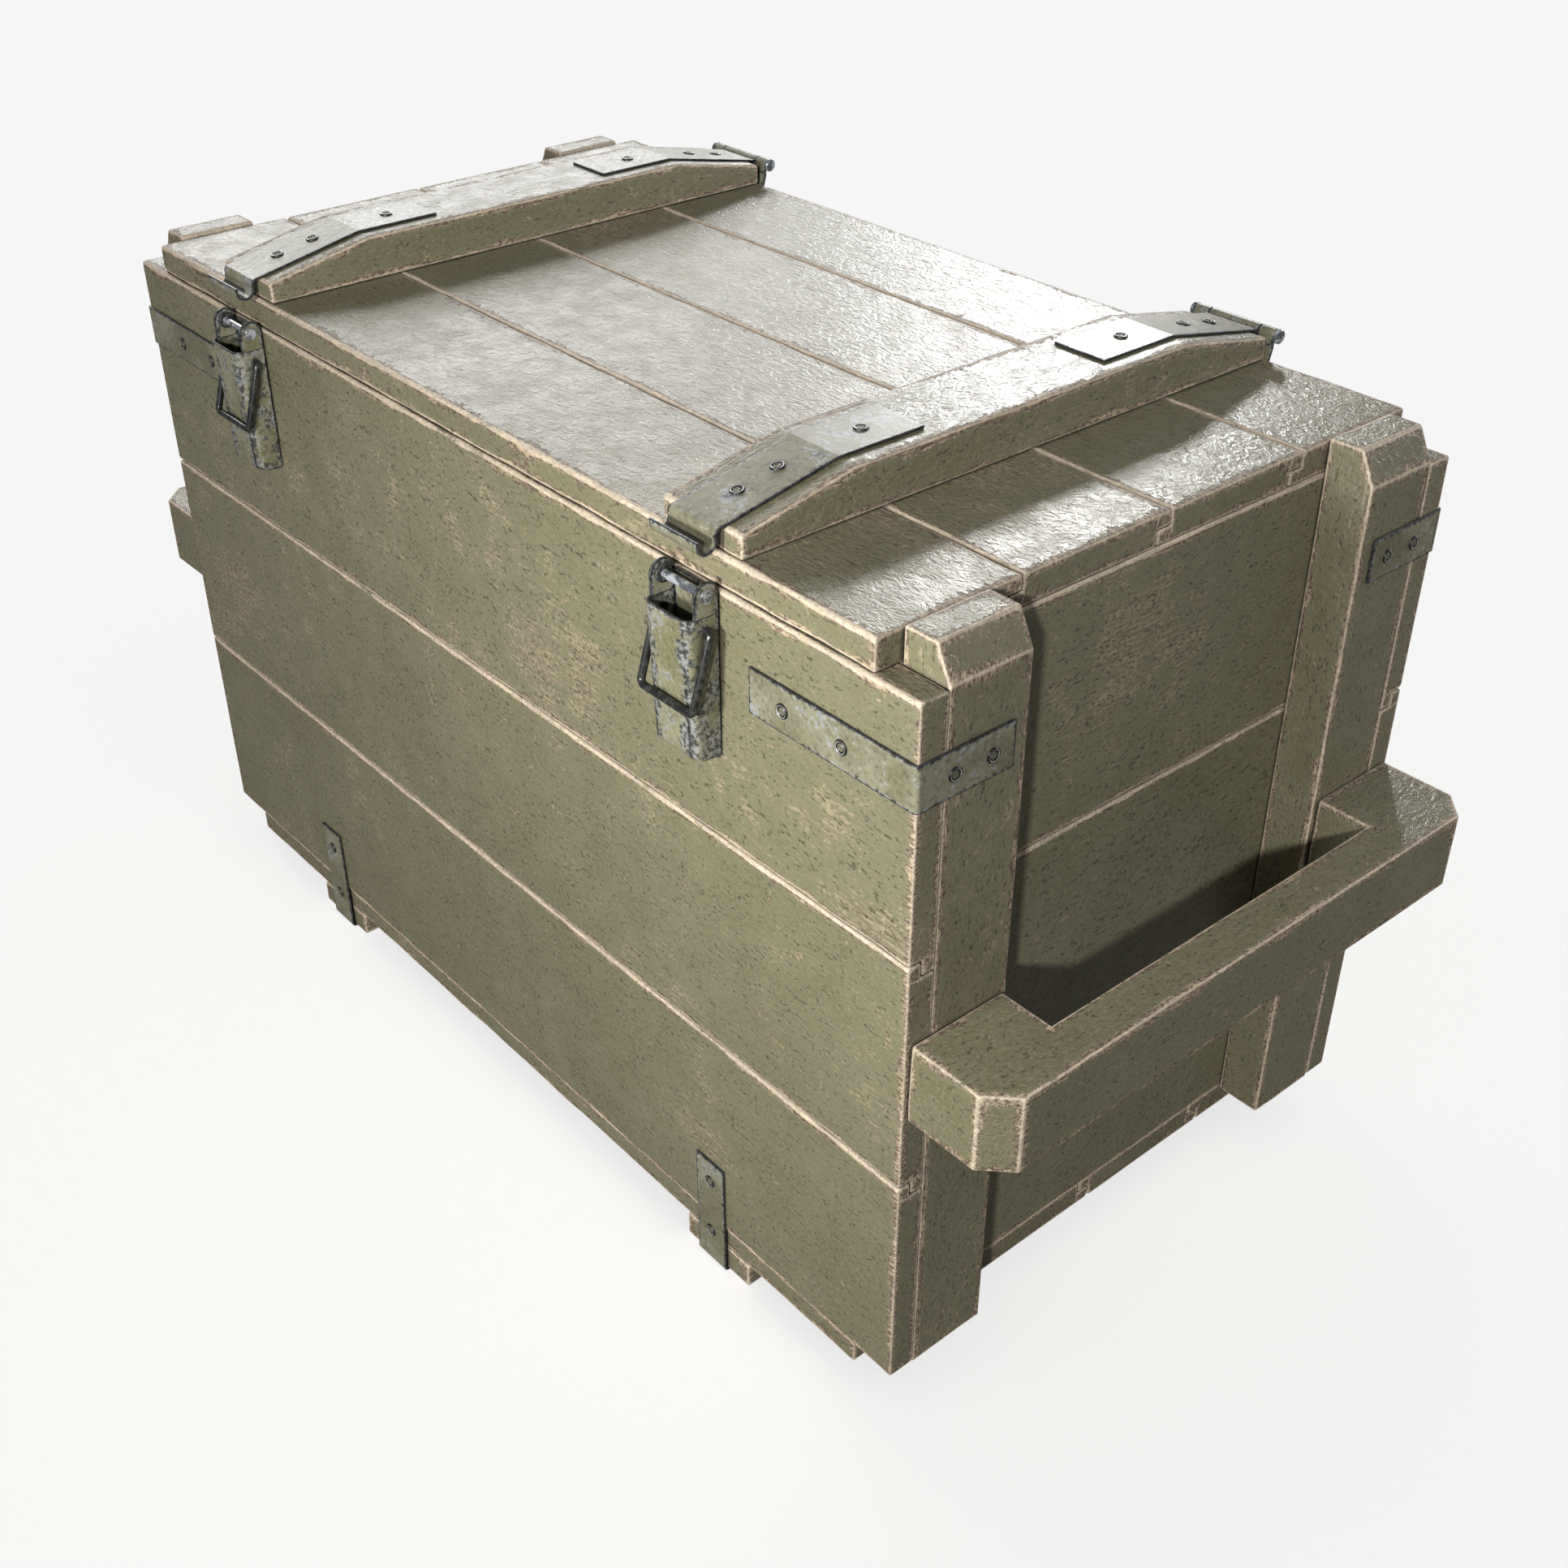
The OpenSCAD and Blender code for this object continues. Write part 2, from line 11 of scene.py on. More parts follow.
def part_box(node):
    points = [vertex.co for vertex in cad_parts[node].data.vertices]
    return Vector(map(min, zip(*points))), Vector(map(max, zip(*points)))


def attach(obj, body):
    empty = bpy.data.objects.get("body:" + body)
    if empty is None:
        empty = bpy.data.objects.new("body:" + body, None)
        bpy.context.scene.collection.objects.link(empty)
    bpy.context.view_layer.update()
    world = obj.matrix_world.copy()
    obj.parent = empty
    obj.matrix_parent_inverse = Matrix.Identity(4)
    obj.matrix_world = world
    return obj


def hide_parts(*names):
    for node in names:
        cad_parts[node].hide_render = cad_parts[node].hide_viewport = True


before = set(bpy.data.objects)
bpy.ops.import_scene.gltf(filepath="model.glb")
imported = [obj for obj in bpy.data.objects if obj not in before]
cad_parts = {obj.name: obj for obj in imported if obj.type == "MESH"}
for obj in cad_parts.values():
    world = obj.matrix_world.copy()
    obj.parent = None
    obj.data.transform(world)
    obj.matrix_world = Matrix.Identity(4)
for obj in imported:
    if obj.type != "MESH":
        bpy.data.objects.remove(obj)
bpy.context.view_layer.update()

MM = 0.001
X, Y, Z = np.eye(3)
ENDS = {"left": -1, "right": 1}
SIDES = {"front": -1, "rear": 1}
ROWS = ["bottom", "middle", "top"]
rng = np.random.default_rng(41)


# ---------------------------------------------------------------- places, all in millimetres

def box_mm(node):
    """Lowest and highest corner of a CAD node, in millimetres."""
    low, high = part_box(node)
    return np.array(low) / MM, np.array(high) / MM


# ---------------------------------------------------------------- outlines

def unit(v):
    return v / np.linalg.norm(v)


def ccw(points):
    """The outline as an array that runs counterclockwise."""
    p = np.array(points, float)
    q = np.roll(p, -1, axis=0)
    area = np.sum(p[:, 0] * q[:, 1] - q[:, 0] * p[:, 1])
    return p if area > 0 else p[::-1].copy()


def spread(length, first, spacing):
    """Distances along a straight stretch, close together near both of its ends."""
    near = [first * g for g in (1, 1.6, 2.6, 4.2, 6.8) if first * g < 0.45 * length]
    if not near:
        return []
    middle = length - 2 * near[-1]
    count = max(1, math.ceil(middle / spacing))
    inner = [near[-1] + middle * k / count for k in range(1, count)]
    return near + inner + [length - d for d in reversed(near)]


SHARP = math.radians(24)
ARC_STEPS = 4


def ring_samples(outline, radius, spacing):
    """Samples round an outline: place, shift per mm of corner radius, and outward direction."""
    count = len(outline)
    place, shift, out, is_corner = [], [], [], []
    for i in range(count):
        before, here, after = outline[i - 1], outline[i], outline[(i + 1) % count]
        u, v = unit(here - before), unit(after - here)
        nu, nv = np.array([u[1], -u[0]]), np.array([v[1], -v[0]])
        turn = math.atan2(u[0] * v[1] - u[1] * v[0], u @ v)
        sharp = abs(turn) > SHARP
        if sharp and turn > 0:
            tangent = math.tan(turn / 2)
            for k in range(ARC_STEPS + 1):
                a = turn * k / ARC_STEPS
                c, s = math.cos(a), math.sin(a)
                n = np.array([nu[0] * c - nu[1] * s, nu[0] * s + nu[1] * c])
                place.append(here)
                shift.append(n - nu - u * tangent)
                out.append(n)
        else:
            place.append(here)
            shift.append(np.zeros(2))
            out.append((nu + nv) / (1 + nu @ nv))
        is_corner.append(sharp and turn > 0)
        length = np.linalg.norm(after - here)
        for d in spread(length, 1.7 * radius, spacing):
            place.append(here + v * d)
            shift.append(np.zeros(2))
            out.append(nv)
    corners = outline[np.array(is_corner)]
    return np.array(place), np.array(shift), np.array(out), corners


def to_outline(points, outline):
    """Distance from each point to the nearest place on the outline."""
    best = np.full(len(points), 1e9)
    for a, b in zip(outline, np.roll(outline, -1, axis=0)):
        ab = b - a
        t = np.clip(((points - a) @ ab) / (ab @ ab), 0, 1)
        best = np.minimum(best, np.linalg.norm(points - a - t[:, None] * ab, axis=1))
    return best


def inside(points, outline):
    """True for each point inside the outline."""
    hit = np.zeros(len(points), bool)
    for a, b in zip(outline, np.roll(outline, -1, axis=0)):
        crosses = (a[1] > points[:, 1]) != (b[1] > points[:, 1])
        if not crosses.any() or a[1] == b[1]:
            continue
        x = a[0] + (points[:, 1] - a[1]) / (b[1] - a[1]) * (b[0] - a[0])
        hit ^= crosses & (points[:, 0] < x)
    return hit


def cap_points(outline, radius, spacing):
    """Points inside an end face: rows along its outline, closer together near it, and a grid."""
    found = []
    for depth in [radius * g for g in (1.9, 3.2, 5.4, 9)]:
        for a, b in zip(outline, np.roll(outline, -1, axis=0)):
            length = np.linalg.norm(b - a)
            n = np.array([(b - a)[1], (a - b)[0]]) / length
            steps = max(1, round((length - 2 * depth) / spacing))
            if length < 2.2 * depth:
                continue
            for k in range(steps + 1):
                t = depth + (length - 2 * depth) * k / steps
                found.append(a + (b - a) / length * t - n * depth)
            row = np.array(found[-steps - 1:])
            keep = inside(row, outline) & (to_outline(row, outline) > depth * 0.98)
            found[-steps - 1:] = list(row[keep])
    low, high = outline.min(0), outline.max(0)
    step = spacing * 1.3
    gx = np.arange(low[0] + step / 2, high[0], step)
    gy = np.arange(low[1] + step / 2, high[1], step)
    grid = np.array([[x, y] for x in gx for y in gy]).reshape(-1, 2)
    if len(grid):
        grid = grid[inside(grid, outline)]
        grid = grid[to_outline(grid, outline) > radius * 12]
    kept, count = np.full((len(found) + len(grid), 2), 1e9), 0
    for p in [*found, *grid]:
        if (np.abs(kept[:count] - p).sum(axis=1) > radius * 0.6).all():
            kept[count] = p
            count += 1
    return kept[:count]


def waves(seed, size):
    """A smooth random function of one or more coordinates in mm, about -1 to 1."""
    own = np.random.default_rng(seed)
    count = 7
    rates = own.normal(0, 1, (count, 3)) * (2 * math.pi / size)
    phases = own.uniform(0, 2 * math.pi, count)

    def at(*coordinates):
        total = 0
        for rate, phase in zip(rates, phases):
            total = total + np.sin(sum(c * r for c, r in zip(coordinates, rate)) + phase)
        return total / math.sqrt(count / 2) / 2
    return at


# ---------------------------------------------------------------- pieces

class Shape:
    """Vertices, faces and the two attributes that the materials read, gathered for one piece."""

    def __init__(self):
        self.verts, self.faces, self.edge, self.grain = [], [], [], []
        self.count = 0

    def add(self, verts, faces, edge, grain):
        self.faces += [tuple(int(i) + self.count for i in f) for f in faces]
        self.verts.append(verts)
        self.edge.append(edge)
        self.grain.append(grain)
        self.count += len(verts)

    def piece(self, name, material, body, nodes, smooth=38):
        mesh = bpy.data.meshes.new(name)
        mesh.from_pydata((np.vstack(self.verts) * MM).tolist(), [], self.faces)
        mesh.validate()
        edge = mesh.attributes.new("edge", "FLOAT", "POINT")
        edge.data.foreach_set("value", np.concatenate(self.edge).astype(np.float32))
        grain = mesh.attributes.new("grain", "FLOAT_VECTOR", "POINT")
        grain.data.foreach_set("vector", (np.vstack(self.grain) * MM).astype(np.float32).ravel())
        mesh.materials.append(material)
        obj = bpy.data.objects.new(name, mesh)
        bpy.context.scene.collection.objects.link(obj)
        mesh.shade_smooth()
        mesh.set_sharp_from_angle(angle=math.radians(smooth))
        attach(obj, body)
        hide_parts(*nodes)


def stations(length, radius, end_r, spacing):
    """Distances from the low end, each with how far its ring draws in to round that end."""
    quarter = [math.pi / 2 * k / 3 for k in range(4)]
    near = [(end_r * (1 - math.cos(a)), end_r * (1 - math.sin(a))) for a in quarter]
    middle = [(end_r + d, 0.0) for d in spread(length - 2 * end_r, 1.2 * radius, spacing)]
    return near + middle + [(length - s, inset) for s, inset in reversed(near)]


def between_rows(count, rows):
    """Four sided faces between closed rows of that many points each."""
    return [(j * count + i, j * count + (i + 1) % count, (j + 1) * count + (i + 1) % count,
             (j + 1) * count + i) for j in range(rows - 1) for i in range(count)]


def add_ends(rings, edges, faces, outline, flat, low, high):
    """Closes the first ring, at low, and the last ring, at high."""
    count = len(rings[0])
    ends = [(0, rings[0], low), ((len(rings) - 1) * count, rings[-1], high)]
    for start, ring, at in ends:
        fill, extra = cap(ring[:, :2], flat)
        base = sum(len(r) for r in rings)
        number = [start + i if i < count else base + i - count for i in range(count + len(extra))]
        for f in fill:
            ids = [number[i] for i in f]
            faces.append(tuple(reversed(ids)) if start == 0 else tuple(ids))
        if len(extra):
            rings.append(np.column_stack([extra, np.full(len(extra), at)]))
            edges.append(to_outline(extra, outline))


def prism(shape, outline, axes, low, high, radius, spacing=9.0, wobble=0.0, uneven=0.0, grain="s"):
    """Adds an outline drawn along axes[0] and axes[1], in mm, and drawn out along axes[2] from low to high.
    Its outer corners and both ends are rounded; uneven makes the radius vary, and wobble the faces."""
    outline = ccw(outline)
    seed = int(rng.integers(1 << 30))
    place, shift, out, corners = ring_samples(outline, radius, spacing)
    length = high - low
    rows = stations(length, radius, radius * (0.5 if uneven else 0.8), spacing)
    vary, bend = waves(seed, 45), waves(seed + 1, 170)
    to_corner = np.full(len(place), 1e9)
    for c in corners:
        to_corner = np.minimum(to_corner, np.linalg.norm(place - c, axis=1))
    rings, edges = [], []
    for s, inset in rows:
        r = radius * (1 + uneven * np.clip(vary(place[:, 0], place[:, 1], s), -1, 1))
        ring = place + r[:, None] * shift - inset * out
        if wobble:
            sunk = np.clip(bend(place[:, 0], place[:, 1], s), -1, 1) - 1
            ring = ring + out * (wobble * sunk)[:, None]
        rings.append(np.column_stack([ring, np.full(len(place), low + s)]))
        edges.append(np.minimum(to_corner, min(s, length - s)))
    faces = between_rows(len(place), len(rows))
    add_ends(rings, edges, faces, outline, cap_points(outline, radius, spacing), low, high)
    local = np.vstack(rings)
    axes = np.array(axes, float)
    if np.linalg.det(axes) < 0:
        faces = [tuple(reversed(f)) for f in faces]
    order = {"s": [2, 0, 1], "a": [0, 1, 2], "b": [1, 0, 2]}[grain]
    offset = np.random.default_rng(seed + 2).uniform(-4000, 4000, 3)
    shape.add(local @ axes, faces, np.concatenate(edges), local[:, order] + offset)


def cap(ring, flat):
    """Triangles over one end: the ring's own points, and the flat ones inside."""
    count = len(ring)
    points = [Vector(p) for p in [*ring, *flat]]
    bounds = [(i, (i + 1) % count) for i in range(count)]
    verts, _, faces, original, _, _ = delaunay_2d_cdt(points, bounds, [list(range(count))], 1, 1e-5)
    crossings = [np.array(v) for v, o in zip(verts, original) if not o]
    numbers, new = [], len(points)
    for o in original:
        numbers.append(o[0] if o else new)
        new += not o
    return [tuple(numbers[i] for i in f) for f in faces], np.array([*flat, *crossings]).reshape(-1, 2)


# ---------------------------------------------------------------- materials

class Tree:
    """A material's nodes, with short calls for the ones that are used most."""

    def __init__(self, name):
        self.material = bpy.data.materials.new(name)
        self.material.use_nodes = True
        self.nodes = self.material.node_tree.nodes
        self.links = self.material.node_tree.links
        self.nodes.clear()
        self.out = self.nodes.new("ShaderNodeOutputMaterial")
        self.shader = self.nodes.new("ShaderNodeBsdfPrincipled")
        self.links.new(self.shader.outputs[0], self.out.inputs[0])

    def put(self, socket, value):
        if isinstance(value, bpy.types.NodeSocket):
            self.links.new(value, socket)
        elif value is not None:
            socket.default_value = value

    def attribute(self, name, output):
        node = self.nodes.new("ShaderNodeAttribute")
        node.attribute_name = name
        return node.outputs[output]

    def math(self, operation, a, b=None, c=None):
        node = self.nodes.new("ShaderNodeMath")
        node.operation = operation
        for socket, value in zip(node.inputs, (a, b, c)):
            self.put(socket, value)
        return node.outputs[0]

    def stretch(self, vector, factors):
        node = self.nodes.new("ShaderNodeVectorMath")
        node.operation = "MULTIPLY"
        self.put(node.inputs[0], vector)
        self.put(node.inputs[1], factors)
        return node.outputs[0]

    def noise(self, vector, scale, detail, rough, distortion=0.0):
        node = self.nodes.new("ShaderNodeTexNoise")
        self.put(node.inputs["Vector"], vector)
        node.inputs["Scale"].default_value = scale
        node.inputs["Detail"].default_value = detail
        node.inputs["Roughness"].default_value = rough
        node.inputs["Distortion"].default_value = distortion
        return node.outputs[0]

    def step(self, value, low, high, to_low=0.0, to_high=1.0):
        """Smooth change from to_low at low to to_high at high."""
        node = self.nodes.new("ShaderNodeMapRange")
        node.interpolation_type = "SMOOTHSTEP"
        for socket, v in zip(node.inputs, (value, low, high, to_low, to_high)):
            self.put(socket, v)
        return node.outputs[0]

    def mix(self, factor, a, b):
        node = self.nodes.new("ShaderNodeMix")
        node.data_type = "RGBA"
        self.put(node.inputs[0], factor)
        self.put(node.inputs[6], a)
        self.put(node.inputs[7], b)
        return node.outputs[2]

    def occlusion_shade(self, reach, strength):
        """Painted shade: high in seams and close to other pieces, where ambient occlusion finds them
        hidden.
        """
        node = self.nodes.new("ShaderNodeAmbientOcclusion")
        node.samples = 6
        node.inputs["Distance"].default_value = reach
        return self.step(node.outputs["AO"], 0.3, 0.75, strength, 0.0)

    def bump(self, height, distance, strength):
        node = self.nodes.new("ShaderNodeBump")
        node.inputs["Strength"].default_value = strength
        node.inputs["Distance"].default_value = distance
        self.put(node.inputs["Height"], height)
        return node.outputs[0]


def srgb(r, g, b):
    """An sRGB colour, 0 to 255, as linear RGBA."""
    def linear(c):
        c /= 255
        return c / 12.92 if c <= 0.04045 else ((c + 0.055) / 1.055) ** 2.4
    return (linear(r), linear(g), linear(b), 1.0)


SCRATCH_WIDTH = 0.006
SCRATCH_GAPS = 0.55


def broken_lines(t, vector, scale):
    """Thin curved lines, as from scratches, that come and go."""
    lines = t.math("ABSOLUTE", t.math("SUBTRACT", t.noise(vector, scale, 1.5, 0.4, 0.3), 0.5))
    line = t.step(lines, SCRATCH_WIDTH * 0.4, SCRATCH_WIDTH, 1.0, 0.0)
    here = t.step(t.noise(vector, scale * 2.3, 2.0, 0.5), SCRATCH_GAPS, SCRATCH_GAPS + 0.05)
    return t.math("MULTIPLY", line, here)


def wood_wear(t, at, edge, large, medium, fine, specks):
    """Where the paint has gone, as masks: bare along the edges, thin along them, and bare anywhere."""
    # how far in from the edge the paint has gone: a band of uneven width
    ragged = t.math("MULTIPLY_ADD", t.math("SUBTRACT", medium, 0.5), 18.0, edge)
    ragged = t.math("MULTIPLY_ADD", t.math("SUBTRACT", fine, 0.5), 9.0, ragged)
    ragged = t.math("MULTIPLY_ADD", t.math("SUBTRACT", specks, 0.5), 10.0, ragged)
    bare_edge = t.step(ragged, 2.5, 3.7, 1.0, 0.0)
    thin_edge = t.step(ragged, 1.6, 7.0, 1.0, 0.0)

    # scuffs away from the edges, where the coarse noise is high, and scratches both ways
    where = t.math("MULTIPLY_ADD", medium, 0.36, t.math("MULTIPLY", large, 0.40))
    where = t.math("MULTIPLY_ADD", specks, 0.24, where)
    scuff = t.step(where, 0.560, 0.590, 0.0, 0.42)
    scratch = broken_lines(t, t.stretch(at, (0.5, 1.3, 1.1)), 30)
    scratch_2 = broken_lines(t, t.stretch(at, (1.4, 0.45, 0.9)), 24)
    scratches = t.math("MULTIPLY", t.math("MAXIMUM", scratch, scratch_2), 0.5)
    return bare_edge, thin_edge, t.math("MAXIMUM", bare_edge, t.math("MAXIMUM", scuff, scratches))


def wood_paint(t, paint, light_paint, dark_paint, large, medium, specks, dark):
    """Mottled paint, lighter in patches and specks, and dark in its pits."""
    tone = t.step(t.math("MULTIPLY_ADD", medium, 0.45, t.math("MULTIPLY", large, 0.55)), 0.36, 0.64)
    colour = t.mix(t.math("MULTIPLY", tone, 0.6), paint, light_paint)
    colour = t.mix(t.step(specks, 0.54, 0.62, 0.0, 0.7), colour, light_paint)
    return t.mix(t.math("MULTIPLY", dark, 0.7), colour, dark_paint)


def raw_wood(t, at, edge, specks):
    """Greyish wood with streaks along the grain, and a painted highlight right at the edge."""
    streaks = t.noise(t.stretch(at, (0.08, 1.0, 1.0)), 520, 3, 0.6)
    raw = t.mix(t.step(streaks, 0.35, 0.65), srgb(98, 84, 67), srgb(154, 137, 114))
    raw = t.mix(t.step(specks, 0.44, 0.51, 0.8, 0.0), raw, srgb(62, 50, 38))
    # painted highlight: pale cream within about a millimetre of the edge
    return t.mix(t.step(edge, 0.0, 1.1, 0.4, 0.0), raw, srgb(198, 184, 162))


def worn_wood(name, paint, light_paint, dark_paint):
    """Glossy paint on planks, worn through to raw wood along the edges, with scuffs and scratches."""
    t = Tree(name)
    at = t.attribute("grain", "Vector")
    edge = t.attribute("edge", "Fac")
    large = t.noise(at, 6, 3, 0.55)
    medium = t.noise(at, 36, 5, 0.65)
    fine = t.noise(t.stretch(at, (0.30, 1.0, 1.0)), 300, 4, 0.65, 0.3)
    specks = t.noise(t.stretch(at, (0.6, 1.0, 1.0)), 520, 3, 0.65)
    bare_edge, thin_edge, bare = wood_wear(t, at, edge, large, medium, fine, specks)
    dark = t.step(t.math("MULTIPLY_ADD", fine, 0.4, t.math("MULTIPLY", specks, 0.6)), 0.40, 0.43, 1.0, 0.0)

    colour = wood_paint(t, paint, light_paint, dark_paint, large, medium, specks, dark)
    colour = t.mix(t.math("MULTIPLY", thin_edge, 0.30), colour, srgb(128, 116, 92))
    colour = t.mix(bare, colour, raw_wood(t, at, edge, specks))
    rim = t.math("MULTIPLY", t.step(bare_edge, 0.02, 0.3), t.step(bare_edge, 0.4, 0.9, 1.0, 0.0))
    colour = t.mix(t.math("MULTIPLY", rim, 0.4), colour, srgb(50, 45, 32))
    # painted shade: darkens the wood in seams and next to other pieces
    colour = t.mix(t.occlusion_shade(0.0035, 0.65), colour, srgb(30, 27, 20))
    t.put(t.shader.inputs["Base Color"], colour)

    gloss = t.step(t.noise(at, 60, 4, 0.6), 0.3, 0.7, 0.30, 0.44)
    t.put(t.shader.inputs["Roughness"], t.step(bare, 0.2, 0.8, gloss, 0.60))
    ripple = t.noise(t.stretch(at, (0.7, 1.0, 1.0)), 230, 3, 0.6, 0.8)
    height = t.math("MULTIPLY_ADD", fine, 0.45, ripple)
    for mask, depth in ((specks, 0.22), (bare, -0.30), (dark, -0.10)):
        height = t.math("MULTIPLY_ADD", mask, depth, height)
    t.put(t.shader.inputs["Normal"], t.bump(height, 0.0010, 0.7))
    return t.material


def worn_strap(name, paint, bright, patchy, wear=1.0):
    """Paint on sheet steel, worn to blue-grey metal on the edges and in speckles, with a dark outline."""
    t = Tree(name)
    at = t.attribute("grain", "Vector")
    edge = t.attribute("edge", "Fac")
    large = t.noise(at, 26, 3, 0.6)
    medium = t.noise(at, 80, 5, 0.65)
    fine = t.noise(at, 330, 4, 0.65)
    ragged = t.math("MULTIPLY_ADD", t.math("SUBTRACT", medium, 0.5), 6.0 * wear, edge)
    ragged = t.math("MULTIPLY_ADD", t.math("SUBTRACT", fine, 0.5), 5.0, ragged)
    bare_edge = t.step(ragged, 0.7 * wear, 1.7 * wear, 1.0, 0.0)
    where = t.math("MULTIPLY_ADD", large, 0.5, t.math("MULTIPLY", medium, 0.5))
    blotch = t.step(t.math("MULTIPLY_ADD", fine, 0.45, where), 0.80 - 0.12 * patchy, 0.86 - 0.12 * patchy)
    bare = t.math("MAXIMUM", t.math("MULTIPLY", bare_edge, 0.8), t.math("MULTIPLY", blotch, 0.75))
    colour = t.mix(t.step(large, 0.35, 0.65), paint, t.mix(0.3, paint, srgb(150, 148, 128)))
    colour = t.mix(t.step(fine, 0.52, 0.64, 0.0, 0.4), colour, srgb(112, 109, 86))
    colour = t.mix(t.step(fine, 0.36, 0.46, 0.45, 0.0), colour, srgb(52, 50, 38))
    metal = t.mix(t.step(fine, 0.42, 0.58), srgb(46, 48, 50), t.mix(0.25, bright, srgb(190, 192, 190)))
    colour = t.mix(bare, colour, metal)
    line = t.step(t.math("MULTIPLY_ADD", fine, 0.8, edge), 0.9, 1.5, 1.0, 0.0)
    colour = t.mix(t.math("MULTIPLY", line, 0.85), colour, srgb(24, 25, 27))
    # painted shade: darkens the strap in seams and next to other pieces
    colour = t.mix(t.occlusion_shade(0.004, 0.7), colour, srgb(18, 18, 16))
    t.put(t.shader.inputs["Base Color"], colour)
    t.put(t.shader.inputs["Metallic"], t.math("MULTIPLY", bare, 0.3))
    t.put(t.shader.inputs["Roughness"], t.step(fine, 0.3, 0.7, 0.32, 0.48))
    height = t.math("MULTIPLY_ADD", bare, -0.4, t.math("MULTIPLY_ADD", fine, 0.5, medium))
    t.put(t.shader.inputs["Normal"], t.bump(height, 0.0004, 0.5))
    return t.material


def steel(name, dark, light, smooth, rough):
    """Plain steel with soft patches."""
    t = Tree(name)
    at = t.attribute("grain", "Vector")
    patches = t.noise(at, 240, 4, 0.6)
    t.put(t.shader.inputs["Base Color"], t.mix(t.step(patches, 0.42, 0.62), dark, light))
    t.put(t.shader.inputs["Metallic"], 0.5)
    t.put(t.shader.inputs["Roughness"], t.step(patches, 0.35, 0.65, rough, smooth))
    t.put(t.shader.inputs["Normal"], t.bump(t.noise(at, 600, 3, 0.6), 0.0002, 0.35))
    return t.material


def screw_steel(name):
    """A screw's head: a dark rim, a bright ring, a dark groove and a painted middle."""
    t = Tree(name)
    at = t.attribute("grain", "Vector")
    rim = t.attribute("edge", "Fac")
    spots = t.noise(at, 420, 4, 0.6)
    off = t.math("MULTIPLY_ADD", t.math("SUBTRACT", spots, 0.5), 0.9, rim)
    ring = t.math("MULTIPLY", t.step(off, 0.75, 0.9), t.step(off, 1.1, 1.3, 1.0, 0.0))
    middle = t.step(off, 1.9, 2.3)
    colour = t.mix(ring, srgb(10, 10, 9), srgb(176, 178, 172))
    colour = t.mix(middle, colour, srgb(78, 76, 62))
    t.put(t.shader.inputs["Base Color"], colour)
    t.put(t.shader.inputs["Metallic"], t.math("MULTIPLY", ring, 0.7))
    t.put(t.shader.inputs["Roughness"], t.step(spots, 0.35, 0.65, 0.5, 0.32))
    t.put(t.shader.inputs["Normal"], t.bump(spots, 0.0002, 0.5))
    return t.material


WOOD = worn_wood("worn_painted_wood", srgb(90, 87, 65), srgb(106, 103, 82), srgb(44, 42, 30))
STRAP = worn_strap("worn_painted_strap", srgb(86, 84, 64), srgb(112, 116, 122), patchy=0.1)
PLATE = worn_strap("worn_latch_plate", srgb(88, 86, 62), srgb(98, 100, 102), wear=1.5, patchy=0.25)
WIRE = steel("dark_wire", srgb(34, 35, 34), srgb(64, 64, 60), 0.14, 0.26)
PIN = steel("bright_pin", srgb(84, 87, 90), srgb(172, 176, 180), 0.16, 0.3)
SCREW = screw_steel("worn_screw")


# ---------------------------------------------------------------- wood

EDGE_R = 2.2
LAP = 10.0
HALF_GAP = 0.1


def lapped(low, high, thick, first, last):
    """One plank's outline, drawn as [along the row, outwards], between the edges of its outer face."""
    inner, outer = thick / 2 - HALF_GAP, thick / 2 + HALF_GAP
    low_in = low if first else low - LAP
    high_in = high if last else high - LAP
    if first and last:
        return [(low, 0), (high, 0), (high, thick), (low, thick)]
    points = [(low_in, 0), (high_in, 0)]
    if not last:
        points += [(high_in, outer), (high, outer)]
    points += [(high, thick), (low, thick)]
    if not first:
        points += [(low, inner), (low_in, inner)]
    return points


def plank_row(nodes, body, along, row, out):
    """Lapped planks. along, row and out are unit vectors: the planks' length, the way that the row
    runs, and the side of the outer face."""
    for i, node in enumerate(nodes):
        low, high = box_mm(node)
        spans = [np.sort([low @ axis, high @ axis]) for axis in (row, out, along)]
        (row_low, row_high), (out_low, out_high), (s_low, s_high) = spans
        first, last = i == 0, i == len(nodes) - 1
        outline = lapped(row_low if first else row_low + LAP, row_high, out_high - out_low, first, last)
        outline = [(a, b + out_low) for a, b in outline]
        shape = Shape()
        prism(shape, outline, [row, out, along], s_low, s_high, EDGE_R, wobble=0.15, uneven=0.35)
        shape.piece(f"worn_{node}", WOOD, body, [node])


for side, sign in SIDES.items():
    plank_row([f"{side}_plank_{r}" for r in ROWS], "box", X, Z, sign * Y)
for end, sign in ENDS.items():
    plank_row([f"{end}_panel_{r}" for r in ROWS], "box", Y, Z, sign * X)
plank_row([f"bottom_board_{i}" for i in range(1, 5)], "box", X, Y, -Z)
plank_row([f"lid_plank_{i}" for i in range(1, 5)], "lid", X, Y, Z)


def skid(end):
    node = f"skid_{end}"
    low, high = box_mm(node)
    shape = Shape()
    prism(shape, [(low[0], low[2]), (high[0], low[2]), (high[0], high[2]), (low[0], high[2])],
          [X, Z, Y], low[1], high[1], EDGE_R, wobble=0.1, uneven=0.35)
    shape.piece(f"worn_{node}", WOOD, "box", [node])


for end in ENDS:
    skid(end)


BATTEN_CUT = (10.0, 20.0)


